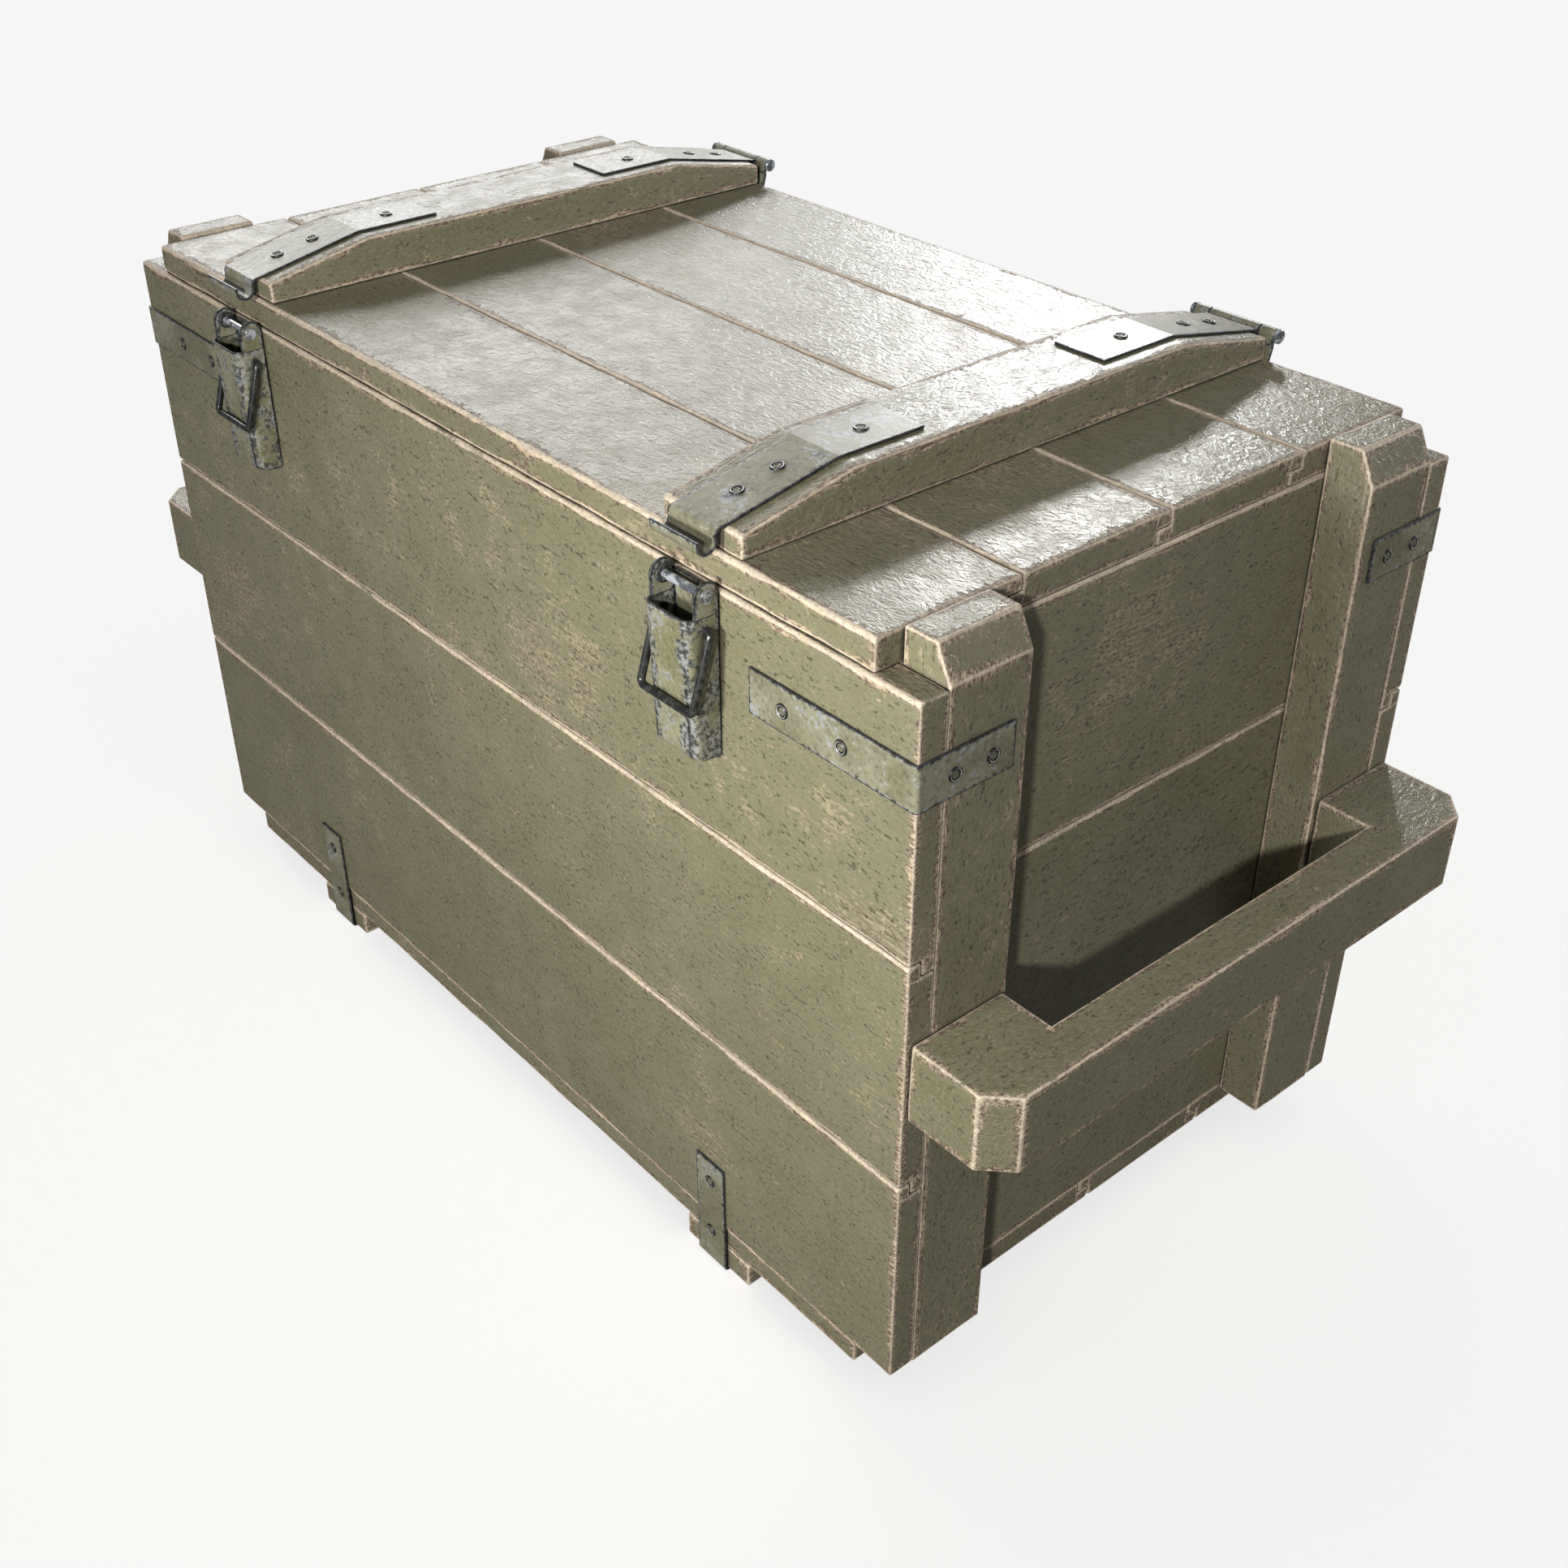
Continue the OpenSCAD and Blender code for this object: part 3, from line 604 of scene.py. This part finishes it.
def batten(end, side):
    """An upright with its top outer edge cut off."""
    node = f"batten_{end}_{side}"
    low, high = box_mm(node)
    out = ENDS[end] * X
    near, far = np.sort([low @ out, high @ out])
    outline = [(near, low[2]), (far, low[2]), (far, high[2] - BATTEN_CUT[1]),
               (far - BATTEN_CUT[0], high[2]), (near, high[2])]
    shape = Shape()
    prism(shape, outline, [out, Z, Y], low[1], high[1], EDGE_R, wobble=0.15, uneven=0.35, grain="b")
    shape.piece(f"worn_{node}", WOOD, "box", [node])


HANDLE_CUT = 16.7
HANDLE_ARM_W = 67.5
GRIP_T = 30.0


def handle(end):
    """A U in plan: two arms and the grip bar."""
    node = f"handle_{end}"
    low, high = box_mm(node)
    out = ENDS[end] * X
    near, far = np.sort([low @ out, high @ out])
    outline = [(near, low[1]), (far - HANDLE_CUT, low[1]), (far, low[1] + HANDLE_CUT),
               (far, high[1] - HANDLE_CUT), (far - HANDLE_CUT, high[1]), (near, high[1]),
               (near, high[1] - HANDLE_ARM_W), (far - GRIP_T, high[1] - HANDLE_ARM_W),
               (far - GRIP_T, low[1] + HANDLE_ARM_W), (near, low[1] + HANDLE_ARM_W)]
    shape = Shape()
    prism(shape, outline, [out, Y, Z], low[2], high[2], EDGE_R, wobble=0.15, uneven=0.35, grain="b")
    shape.piece(f"worn_{node}", WOOD, "box", [node])


CLEAT_END_H = 14.0
CLEAT_LEVEL = 260.0
LEVEL_END = CLEAT_LEVEL / 2


def cleat_outline(low, high):
    """The side of a cleat in Y and Z: level in the middle, sloping to both ends."""
    middle = (low[1] + high[1]) / 2
    return [(low[1], low[2]), (high[1], low[2]), (high[1], low[2] + CLEAT_END_H),
            (middle + LEVEL_END, high[2]), (middle - LEVEL_END, high[2]),
            (low[1], low[2] + CLEAT_END_H)]


def cleat(end):
    node = f"cleat_{end}"
    low, high = box_mm(node)
    shape = Shape()
    prism(shape, cleat_outline(low, high), [Y, Z, X], low[0], high[0], EDGE_R, wobble=0.15, uneven=0.35,
          grain="a")
    shape.piece(f"worn_{node}", WOOD, "lid", [node])


for end in ENDS:
    handle(end)
    cleat(end)
    for side in SIDES:
        batten(end, side)


# ---------------------------------------------------------------- straps

STRAP_T = 1.5
STRAP_R = 0.4
BEND_STEP = math.radians(9)
LATHE_STEPS = 36


def rounded_path(points, radius, step=BEND_STEP):
    """A path in two dimensions with its bends rounded to that radius."""
    points = [np.array(p, float) for p in points]
    out = [points[0]]
    for before, here, after in zip(points, points[1:], points[2:]):
        u, v = unit(here - before), unit(after - here)
        turn = math.atan2(u[0] * v[1] - u[1] * v[0], u @ v)
        if abs(turn) < math.radians(2):
            out.append(here)
            continue
        tangent = radius * math.tan(abs(turn) / 2)
        side = np.array([-u[1], u[0]]) * math.copysign(1, turn)
        centre = here - u * tangent + side * radius
        steps = max(2, math.ceil(abs(turn) / step))
        for k in range(steps + 1):
            a = turn * k / steps
            c, s = math.cos(a), math.sin(a)
            r = -side * radius
            out.append(centre + np.array([r[0] * c - r[1] * s, r[0] * s + r[1] * c]))
    return out + [points[-1]]


def arc(centre, radius, start, end):
    """Points round a centre, from one angle to another, in degrees."""
    start, end = math.radians(start), math.radians(end)
    steps = max(2, math.ceil(abs(end - start) / BEND_STEP))
    angles = [start + (end - start) * k / steps for k in range(steps + 1)]
    return [np.array([centre[0] + radius * math.cos(a), centre[1] + radius * math.sin(a)]) for a in angles]


def band(path, thick):
    """The outline of a strip of that thickness whose middle follows the path."""
    path = [np.array(p, float) for p in path]
    ways = [unit(b - a) for a, b in zip(path, path[1:])]
    left, right = [], []
    for i, p in enumerate(path):
        m, n = ways[max(i - 1, 0)], ways[min(i, len(ways) - 1)]
        m, n = np.array([-m[1], m[0]]), np.array([-n[1], n[0]])
        mitre = (m + n) / (1 + m @ n) * thick / 2
        left.append(p + mitre)
        right.append(p - mitre)
    return right + left[::-1]


def strap(shape, path, axes, low, high, thick=STRAP_T):
    prism(shape, band(path, thick), axes, low, high, STRAP_R, spacing=6.0, grain="a")


FAR_FROM_EDGE = 3.0
HEAD_R = 4.3
HEAD_PROFILE = [(HEAD_R, 0.0), (HEAD_R, 0.45), (4.05, 0.85), (3.7, 1.0), (3.25, 1.0), (2.95, 0.72),
                (2.7, 0.45), (2.3, 0.42), (2.05, 0.62), (1.75, 0.85), (1.35, 0.85), (1.1, 0.6), (0.0, 0.55)]


def lathe(shape, profile, centre, axis, seed=0):
    """Adds a profile of [radius, height] turned round an axis; closed where the radius is 0."""
    axis = unit(np.array(axis, float))
    side = unit(np.cross(axis, X if abs(axis @ X) < 0.9 else Y))
    other = np.cross(axis, side)
    verts, edge, rows = [], [], []
    for r, h in profile:
        row = []
        for k in range(LATHE_STEPS if r > 0 else 1):
            a = 2 * math.pi * k / LATHE_STEPS
            row.append(len(verts))
            verts.append(centre + axis * h + (side * math.cos(a) + other * math.sin(a)) * r)
            edge.append(min(abs(r - HEAD_R), FAR_FROM_EDGE))
        rows.append(row)
    faces = []
    for one, two in zip(rows, rows[1:]):
        for k in range(LATHE_STEPS):
            a, b = one[k % len(one)], one[(k + 1) % len(one)]
            c, d = two[(k + 1) % len(two)], two[k % len(two)]
            face = [i for j, i in enumerate((a, b, c, d)) if i not in (a, b, c, d)[:j]]
            if len(face) > 2:
                faces.append(tuple(face))
    if len(rows[0]) > 1:
        faces.append(tuple(reversed(rows[0])))
    if len(rows[-1]) > 1:
        faces.append(tuple(rows[-1]))
    verts = np.array(verts)
    shape.add(verts, faces, np.array(edge), verts + np.random.default_rng(seed).uniform(-900, 900, 3))


def tube(shape, path, diameter, steps):
    """Adds a closed round wire along a path in space."""
    path = [np.array(p, float) for p in path]
    ways = [unit(b - a) for a, b in zip(path, path[1:])]
    tangents = [unit(ways[max(i - 1, 0)] + ways[min(i, len(ways) - 1)]) for i in range(len(path))]
    side = unit(np.cross(tangents[0], X if abs(tangents[0] @ X) < 0.9 else Z))
    verts = []
    for p, t in zip(path, tangents):
        side = unit(side - t * (side @ t))
        other = np.cross(t, side)
        for k in range(steps):
            a = 2 * math.pi * k / steps
            verts.append(p + (side * math.cos(a) + other * math.sin(a)) * diameter / 2)
    verts, count = np.array(verts), len(path)
    faces = between_rows(steps, count)
    faces.append(tuple(reversed(range(steps))))
    faces.append(tuple(range((count - 1) * steps, count * steps)))
    shape.add(verts, faces, np.full(len(verts), FAR_FROM_EDGE), verts)


# ---------------------------------------------------------------- corner and bottom straps

def corner_strap(end, side):
    """Round one upper corner, in plan."""
    node = f"corner_strap_{end}_{side}"
    low, high = box_mm(node)
    ex, sy = ENDS[end], SIDES[side]
    out_x = high[0] if ex > 0 else low[0]
    in_x = low[0] if ex > 0 else high[0]
    out_y = high[1] if sy > 0 else low[1]
    in_y = low[1] if sy > 0 else high[1]
    half = STRAP_T / 2
    path = [(in_x, out_y - sy * half), (out_x - ex * half, out_y - sy * half), (out_x - ex * half, in_y)]
    shape = Shape()
    strap(shape, rounded_path(path, 2.0), [X, Y, Z], low[2], high[2])
    shape.piece(f"worn_{node}", STRAP, "box", [node])


def bottom_strap(end, side):
    """Down the side and in under the skid, drawn in Y and Z."""
    node = f"bottom_strap_{end}_{side}"
    low, high = box_mm(node)
    sy = SIDES[side]
    out_y = high[1] if sy > 0 else low[1]
    in_y = low[1] if sy > 0 else high[1]
    half = STRAP_T / 2
    path = [(in_y, low[2] + half), (out_y - sy * half, low[2] + half), (out_y - sy * half, high[2])]
    shape = Shape()
    strap(shape, rounded_path(path, 2.2), [Y, Z, X], low[0], high[0])
    shape.piece(f"worn_{node}", STRAP, "box", [node])


for end in ENDS:
    for side in SIDES:
        corner_strap(end, side)
        bottom_strap(end, side)


# ---------------------------------------------------------------- hinges and latches

FRONT_LOW = box_mm("front_plank_bottom")[0]
REAR_HIGH = box_mm("rear_plank_bottom")[1]
ORIGIN = np.array([0.0, (FRONT_LOW[1] + REAR_HIGH[1]) / 2, FRONT_LOW[2]])
SIDE_Y = 208.5
END_X = 400.0
CLEAT_X = 238.0
CLEAT_TOP = 507.6
CLEAT_FALL = 14.6 / 74.5
LID_STRAP_W = 38.0
PIN_D = 5.0
HINGE_AT = (215.5, 491.0)
HINGE_LEN = 62.0
LEAF_T = 1.8
LATCH_AT = (-217.1, 459.0)
BAIL_AT = (-217.4, 440.0)
LEVER_W = 37.0
LEVER_T = 1.6
STRAP_FROM = 70.0
HOOK_WALL = (-210.45, 492.6)
TROUGH_AT = (-216.2, 487.5)
TROUGH_R = 5.75
HOOK_LIP = (-221.95, 490)
HINGE_ARM_END = (212.2, 492.25)
KNUCKLE_R = 3.5
LEAF_LOW = 412
LEAF_BEND = 474
LEAF_TIP = (212.1, 486.6)
LEAF_STEP = 484
CURL_FROM = 485.5
CURL_R = 3.4
CURL_T = 1.7
CURL_W = 11.7
HINGE_HEAD = (8.98, 2.3)
LATCH_HEAD = (8.0, 0.7)
BASE_LOW = 375
BASE_HIGH = 460
BASE_GAP = 0.5
EAR_R = 5.2


def yz(points):
    """Places in Y and Z, from the middle of the box and the lower edge of its sides, in the row frame."""
    return [np.array(p, float) + ORIGIN[1:] for p in points]


def across(shape, path, middle, width, thick=STRAP_T):
    """A strap that is drawn in Y and Z, and as wide as that along X."""
    strap(shape, yz(path), [Y, Z, X], middle - width / 2, middle + width / 2, thick)


def hook_strap(end):
    """From the top of the cleat, down its slope, and round into the trough that catches the bail."""
    half = STRAP_T / 2
    path = rounded_path([(-STRAP_FROM, CLEAT_TOP + half), (-LEVEL_END, CLEAT_TOP + half), HOOK_WALL,
                         (HOOK_WALL[0], TROUGH_AT[1])], 2.5)
    path += arc(TROUGH_AT, TROUGH_R, 0, -180)[1:] + [HOOK_LIP]
    shape = Shape()
    across(shape, path, ENDS[end] * CLEAT_X, LID_STRAP_W)
    shape.piece(f"worn_hook_strap_{end}", STRAP, "lid", [f"hook_strap_{end}"])


def hinge_strap(end):
    """From the top of the cleat to the pin, and once round it."""
    half = STRAP_T / 2
    shape = Shape()
    path = rounded_path([(STRAP_FROM, CLEAT_TOP + half), (LEVEL_END, CLEAT_TOP + half), HINGE_ARM_END], 4)
    across(shape, path, ENDS[end] * CLEAT_X, LID_STRAP_W)
    across(shape, arc(HINGE_AT, KNUCKLE_R, 165, -160), ENDS[end] * CLEAT_X, LID_STRAP_W)
    shape.piece(f"worn_hinge_strap_{end}", STRAP, "lid", [f"hinge_strap_{end}"])


def hinge_leaf(end):
    """A plate on the rear plank, with two curls round the pin."""
    middle = ENDS[end] * CLEAT_X
    plate_y = SIDE_Y + LEAF_T / 2
    shape = Shape()
    path = rounded_path([(plate_y, LEAF_LOW), (plate_y, LEAF_BEND), (LEAF_TIP[0], LEAF_STEP), LEAF_TIP], 3)
    across(shape, path, middle, HINGE_LEN, LEAF_T)
    curl = [(LEAF_TIP[0], CURL_FROM)] + arc(HINGE_AT, CURL_R, 180, -120)
    for sign in (-1, 1):
        across(shape, curl, middle + sign * (HINGE_LEN - CURL_W) / 2, CURL_W, CURL_T)
    shape.piece(f"worn_hinge_leaf_{end}", STRAP, "box", [f"hinge_leaf_{end}"])


def turned(shape, profile, middle, at):
    """A pin along X, its profile given as [radius, distance from the left], round a place in Y and Z."""
    y, z = yz([at])[0]
    left = middle - profile[-1][1] / 2
    lathe(shape, profile, np.array([left, y, z]), X)


def pin_profile(diameter, head, head_t, length):
    """Half the outline of a pin with a head at both ends; length is between the heads."""
    r, h, soft = diameter / 2, head / 2, head_t * 0.3
    return [(0, 0), (h - soft, 0), (h, soft), (h, head_t), (r, head_t), (r, head_t + length),
            (h, head_t + length), (h, 2 * head_t + length - soft), (h - soft, 2 * head_t + length),
            (0, 2 * head_t + length)]


def hinge_pin(end):
    shape = Shape()
    turned(shape, pin_profile(PIN_D, *HINGE_HEAD, HINGE_LEN), ENDS[end] * CLEAT_X, HINGE_AT)
    shape.piece(f"worn_hinge_pin_{end}", PIN, "box", [f"hinge_pin_{end}"])


def latch_pin(end):
    shape = Shape()
    turned(shape, pin_profile(PIN_D, *LATCH_HEAD, LEVER_W + 0.3), ENDS[end] * CLEAT_X, LATCH_AT)
    shape.piece(f"worn_latch_pin_{end}", PIN, "box", [f"latch_pin_{end}"])


def flat_x(shape, outline, middle, thick):
    """A plate drawn in Y and Z."""
    prism(shape, yz(outline), [Y, Z, X], middle - thick / 2, middle + thick / 2, 0.35, spacing=5.0,
          grain="a")


def latch_base(end):
    """The plate behind the lever, with an ear for the pin on either side."""
    middle = ENDS[end] * CLEAT_X
    half = LEVER_W / 2 - LEVER_T - BASE_GAP
    pin_z = LATCH_AT[1]
    shape = Shape()
    plate = [(middle - half, BASE_LOW + ORIGIN[2]), (middle + half, BASE_LOW + ORIGIN[2]),
             (middle + half, BASE_HIGH + ORIGIN[2]), (middle - half, BASE_HIGH + ORIGIN[2])]
    wall = ORIGIN[1] - SIDE_Y
    prism(shape, plate, [X, Z, Y], wall - LEVER_T, wall, 0.35, spacing=6.0, grain="b")
    ear = arc(LATCH_AT, EAR_R, 0, 270) + [(-SIDE_Y - 0.3, pin_z - EAR_R), (-SIDE_Y - 0.3, pin_z)]
    for sign in (-1, 1):
        flat_x(shape, ear, middle + sign * (half - LEVER_T / 2), LEVER_T)
    shape.piece(f"worn_latch_base_{end}", STRAP, "box", [f"latch_base_{end}"])


LEVER_REACH = 13.2
LEVER_BACK = 7.8
LEVER_FOOT = 96.0
WINDOW_FOOT = 11.0
LEVER_LEAN = math.tan(math.radians(2.2))
FOOT_R = 5.0


def lean_and_round(verts):
    """Leans the lever's face in towards the box going down, and rounds it over at the foot."""
    y, z = yz([LATCH_AT])[0]
    back = y + LEVER_BACK
    share = np.clip((back - verts[:, 1]) / (LEVER_BACK + LEVER_REACH), 0, 1)
    above_foot = verts[:, 2] - (z - LEVER_FOOT)
    into = np.clip(FOOT_R - above_foot, 0, FOOT_R)
    shift = (z - verts[:, 2]) * LEVER_LEAN + FOOT_R - np.sqrt(FOOT_R ** 2 - into ** 2)
    moved = verts.copy()
    moved[:, 1] += share * shift
    return moved


def latch_lever(end):
    """A channel, open at the back, with a window at its top between two round ended flanges."""
    middle = ENDS[end] * CLEAT_X
    py, pz = LATCH_AT
    half = LEVER_W / 2 - LEVER_T / 2
    face = py - LEVER_REACH + LEVER_T / 2 + ORIGIN[1]
    back = py + LEVER_BACK + ORIGIN[1]
    corners = [(middle - half, back), (middle - half, face), (middle + half, face), (middle + half, back)]
    shape = Shape()
    z = pz + ORIGIN[2]
    prism(shape, band(rounded_path(corners, 5.7), LEVER_T), [X, Y, Z], z - LEVER_FOOT, z - WINDOW_FOOT, 0.4,
          spacing=4.0, grain="b")
    from_flange = half - np.abs(shape.verts[-1][:, 0] - middle)
    above_foot = shape.verts[-1][:, 2] - z + LEVER_FOOT
    worn = 0.3 + np.abs(from_flange - 3.5) * 0.35 + above_foot * 0.008
    shape.edge[-1] = np.minimum(shape.edge[-1], worn)
    shape.verts[-1] = lean_and_round(shape.verts[-1])
    top = [(py + LEVER_BACK, pz - WINDOW_FOOT - 3)] + arc(LATCH_AT, LEVER_BACK, 0, 180)
    top += [(py - LEVER_BACK, pz - WINDOW_FOOT - 3)]
    for sign in (-1, 1):
        flat_x(shape, top, middle + sign * half, LEVER_T - 0.1)
    shape.piece(f"worn_latch_lever_{end}", PLATE, f"lever_{end}", [f"latch_lever_{end}"])


BAIL_D = 4.6
BAIL_SIDE = 21.9
BAIL_STUB = 15.4
BAIL_LEN = 45.22
BAIL_LEAN = math.radians(16.97)


def latch_bail(end):
    """A bent wire loop that hangs from the lever over its face."""
    y, z = yz([BAIL_AT])[0]
    drawn = rounded_path([(-BAIL_STUB, 0), (-BAIL_SIDE, 0), (-BAIL_SIDE, BAIL_LEN), (BAIL_SIDE, BAIL_LEN),
                          (BAIL_SIDE, 0), (BAIL_STUB, 0)], 3.5, step=math.radians(7))
    middle = ENDS[end] * CLEAT_X
    path = [(middle + x, y - d * math.sin(BAIL_LEAN), z - d * math.cos(BAIL_LEAN)) for x, d in drawn]
    shape = Shape()
    tube(shape, path, BAIL_D, steps=24)
    shape.piece(f"worn_latch_bail_{end}", WIRE, f"bail_{end}", [f"latch_bail_{end}"])


# ---------------------------------------------------------------- screws

def screws(node, body, places):
    """One group of screws, from the foot of each head and the way that it faces."""
    shape = Shape()
    for i, (place, facing) in enumerate(places):
        lathe(shape, HEAD_PROFILE, np.array(place) + ORIGIN, facing, seed=600 + i)
    shape.piece(f"worn_{node}", SCREW, body, [node], smooth=50)


LID_SCREWS_Y = (-181, -154.5, -98, 105.5, 162, 187.5)
CORNER_SCREWS_X = (349.5, 306.0)
CORNER_SCREWS_Y = (185.0, 159.5)
CORNER_SCREWS_Z = 413.0
BOTTOM_SCREWS_X = 236.0
BOTTOM_SCREWS_Z = (34.0, -9.25)
LEAF_SCREWS_X = (-20, 20)
LEAF_SCREWS_Z = (423.0, 449.0)
BASE_SCREWS_Z = (387.0, 419.0)


def lid_screw(x, y):
    """Where a lid strap's screw goes: level in the middle of the cleat, and square to its slopes."""
    turn = math.copysign(math.atan(CLEAT_FALL), -y) if abs(y) > LEVEL_END else 0.0
    z = CLEAT_TOP - max(0.0, abs(y) - LEVEL_END) * CLEAT_FALL
    facing = np.array([0.0, -math.sin(turn), math.cos(turn)])
    return np.array([x, y, z]) + facing * STRAP_T, facing


def all_screws():
    ends, sides = ENDS.values(), SIDES.values()
    lid = [lid_screw(ex * CLEAT_X, y) for ex in ends for y in LID_SCREWS_Y]
    screws("lid_strap_screws", "lid", lid)
    corner = [((ex * x, sy * (SIDE_Y + STRAP_T), CORNER_SCREWS_Z), sy * Y)
              for ex in ends for sy in sides for x in CORNER_SCREWS_X]
    corner += [((ex * (END_X + STRAP_T), sy * y, CORNER_SCREWS_Z), ex * X)
               for ex in ends for sy in sides for y in CORNER_SCREWS_Y]
    screws("corner_strap_screws", "box", corner)
    bottom = [((ex * BOTTOM_SCREWS_X, sy * (SIDE_Y + STRAP_T), z), sy * Y)
              for ex in ends for sy in sides for z in BOTTOM_SCREWS_Z]
    screws("bottom_strap_screws", "box", bottom)
    leaf = [((ex * CLEAT_X + x, SIDE_Y + LEAF_T, z), Y)
            for ex in ends for x in LEAF_SCREWS_X for z in LEAF_SCREWS_Z]
    screws("hinge_leaf_screws", "box", leaf)
    base = [((ex * CLEAT_X, -SIDE_Y - LEVER_T, z), -Y) for ex in ends for z in BASE_SCREWS_Z]
    screws("latch_base_screws", "box", base)


for end in ENDS:
    hook_strap(end)
    hinge_strap(end)
    hinge_leaf(end)
    hinge_pin(end)
    latch_base(end)
    latch_pin(end)
    latch_lever(end)
    latch_bail(end)
all_screws()


# ---------------------------------------------------------------- floor, lights and camera

FLOOR_COLOUR = (0.93, 0.93, 0.925, 1.0)
FLOOR_GLOW = 0.735
FLOOR_REACH = 12.0
BACKDROP_REACH = 30.0
BACKDROP_GLOW = 0.92
CAMERA_AT = (0.9128, -0.7220, 0.9416)
CAMERA_TURN = (49.424, 33.825)
CAMERA_LENS = 43.59
AIM = Vector((0.1, 0.0, 0.35))
LIT = bpy.data.collections.new("lit_by_lamps")
GLOW = bpy.data.collections.new("lit_by_floor")


def floor():
    mesh = bpy.data.meshes.new("floor")
    r = FLOOR_REACH
    mesh.from_pydata([(-r, -r, 0), (r, -r, 0), (r, r, 0), (-r, r, 0)], [], [(0, 1, 2, 3)])
    obj = bpy.data.objects.new("floor", mesh)
    bpy.context.scene.collection.objects.link(obj)
    t = Tree("pale_floor")
    t.put(t.shader.inputs["Base Color"], FLOOR_COLOUR)
    t.put(t.shader.inputs["Roughness"], 0.9)
    t.put(t.shader.inputs["Specular IOR Level"], 0.1)
    t.put(t.shader.inputs["Emission Color"], (1.0, 1.0, 1.0, 1.0))
    t.put(t.shader.inputs["Emission Strength"], FLOOR_GLOW)
    mesh.materials.append(t.material)
    return obj


def backdrop():
    """A pale box round everything, which only the camera sees."""
    r = BACKDROP_REACH
    corners = [(x, y, z) for x in (-r, r) for y in (-r, r) for z in (-1, r)]
    sides = [(0, 1, 3, 2), (4, 6, 7, 5), (0, 4, 5, 1), (2, 3, 7, 6), (1, 5, 7, 3), (0, 2, 6, 4)]
    mesh = bpy.data.meshes.new("backdrop")
    mesh.from_pydata(corners, [], sides)
    obj = bpy.data.objects.new("backdrop", mesh)
    bpy.context.scene.collection.objects.link(obj)
    obj.visible_diffuse = False
    obj.visible_glossy = False
    obj.visible_transmission = False
    obj.visible_shadow = False
    t = Tree("pale_backdrop")
    t.put(t.shader.inputs["Base Color"], (0.0, 0.0, 0.0, 1.0))
    t.put(t.shader.inputs["Specular IOR Level"], 0.0)
    t.put(t.shader.inputs["Emission Color"], (1.0, 1.0, 1.0, 1.0))
    t.put(t.shader.inputs["Emission Strength"], BACKDROP_GLOW)
    mesh.materials.append(t.material)
    obj.light_linking.receiver_collection = GLOW


def direction(azimuth, elevation):
    """Unit vector towards a light or camera. Azimuth 0 is on the -Y side, and 90 on the +X side."""
    a, e = math.radians(azimuth), math.radians(elevation)
    return Vector((math.sin(a) * math.cos(e), -math.cos(a) * math.cos(e), math.sin(e)))


def place_light(data, location, target):
    """Puts a light in place, aimed at the target. It leaves the floor to the even light."""
    obj = bpy.data.objects.new(data.name, data)
    obj.location = location
    obj.rotation_euler = (Vector(location) - Vector(target)).to_track_quat("Z", "Y").to_euler()
    bpy.context.scene.collection.objects.link(obj)
    obj.light_linking.receiver_collection = LIT


def area_light(name, azimuth, elevation, distance, size, watts):
    """A square soft box that looks at the middle of the crate."""
    data = bpy.data.lights.new(name, "AREA")
    data.size = size
    data.energy = watts
    place_light(data, AIM + direction(azimuth, elevation) * distance, AIM)


def front_spot():
    """A near light in front of the right end, which fades along the front."""
    data = bpy.data.lights.new("front_spot", "SPOT")
    data.energy = 28
    data.shadow_soft_size = 0.05
    data.spot_size = math.radians(130)
    data.spot_blend = 1.0
    place_light(data, (0.36, -0.75, 0.60), (0.25, -0.20, 0.33))


def studio():
    """An even, dim, white surround."""
    world = bpy.data.worlds.new("studio")
    bpy.context.scene.world = world
    world.use_nodes = True
    background = world.node_tree.nodes["Background"]
    background.inputs[0].default_value = (1.0, 1.0, 1.0, 1.0)
    background.inputs[1].default_value = 0.20


def camera():
    data = bpy.data.cameras.new("camera")
    data.sensor_width = 36.0
    data.lens = CAMERA_LENS
    obj = bpy.data.objects.new("camera", data)
    obj.location = CAMERA_AT
    obj.rotation_euler = direction(*CAMERA_TURN).to_track_quat("Z", "Y").to_euler()
    bpy.context.scene.collection.objects.link(obj)
    bpy.context.scene.camera = obj


FLOOR = floor()
LIT.objects.link(FLOOR)
LIT.collection_objects[0].light_linking.link_state = "EXCLUDE"
GLOW.objects.link(FLOOR)
FLOOR.light_linking.receiver_collection = GLOW
area_light("back_key", -141, 20, 6.0, 0.6, 150)
area_light("back_panel", -118, 20, 5.0, 2.0, 75)
area_light("front_key", 36.6, 22.7, 6.0, 0.3, 375)
area_light("left_fill", -95, 25, 6.0, 1.5, 110)
area_light("rear_fill", 170, 15, 6.0, 1.5, 160)
backdrop()
front_spot()
studio()
camera()
bpy.context.scene.view_settings.view_transform = "Standard"
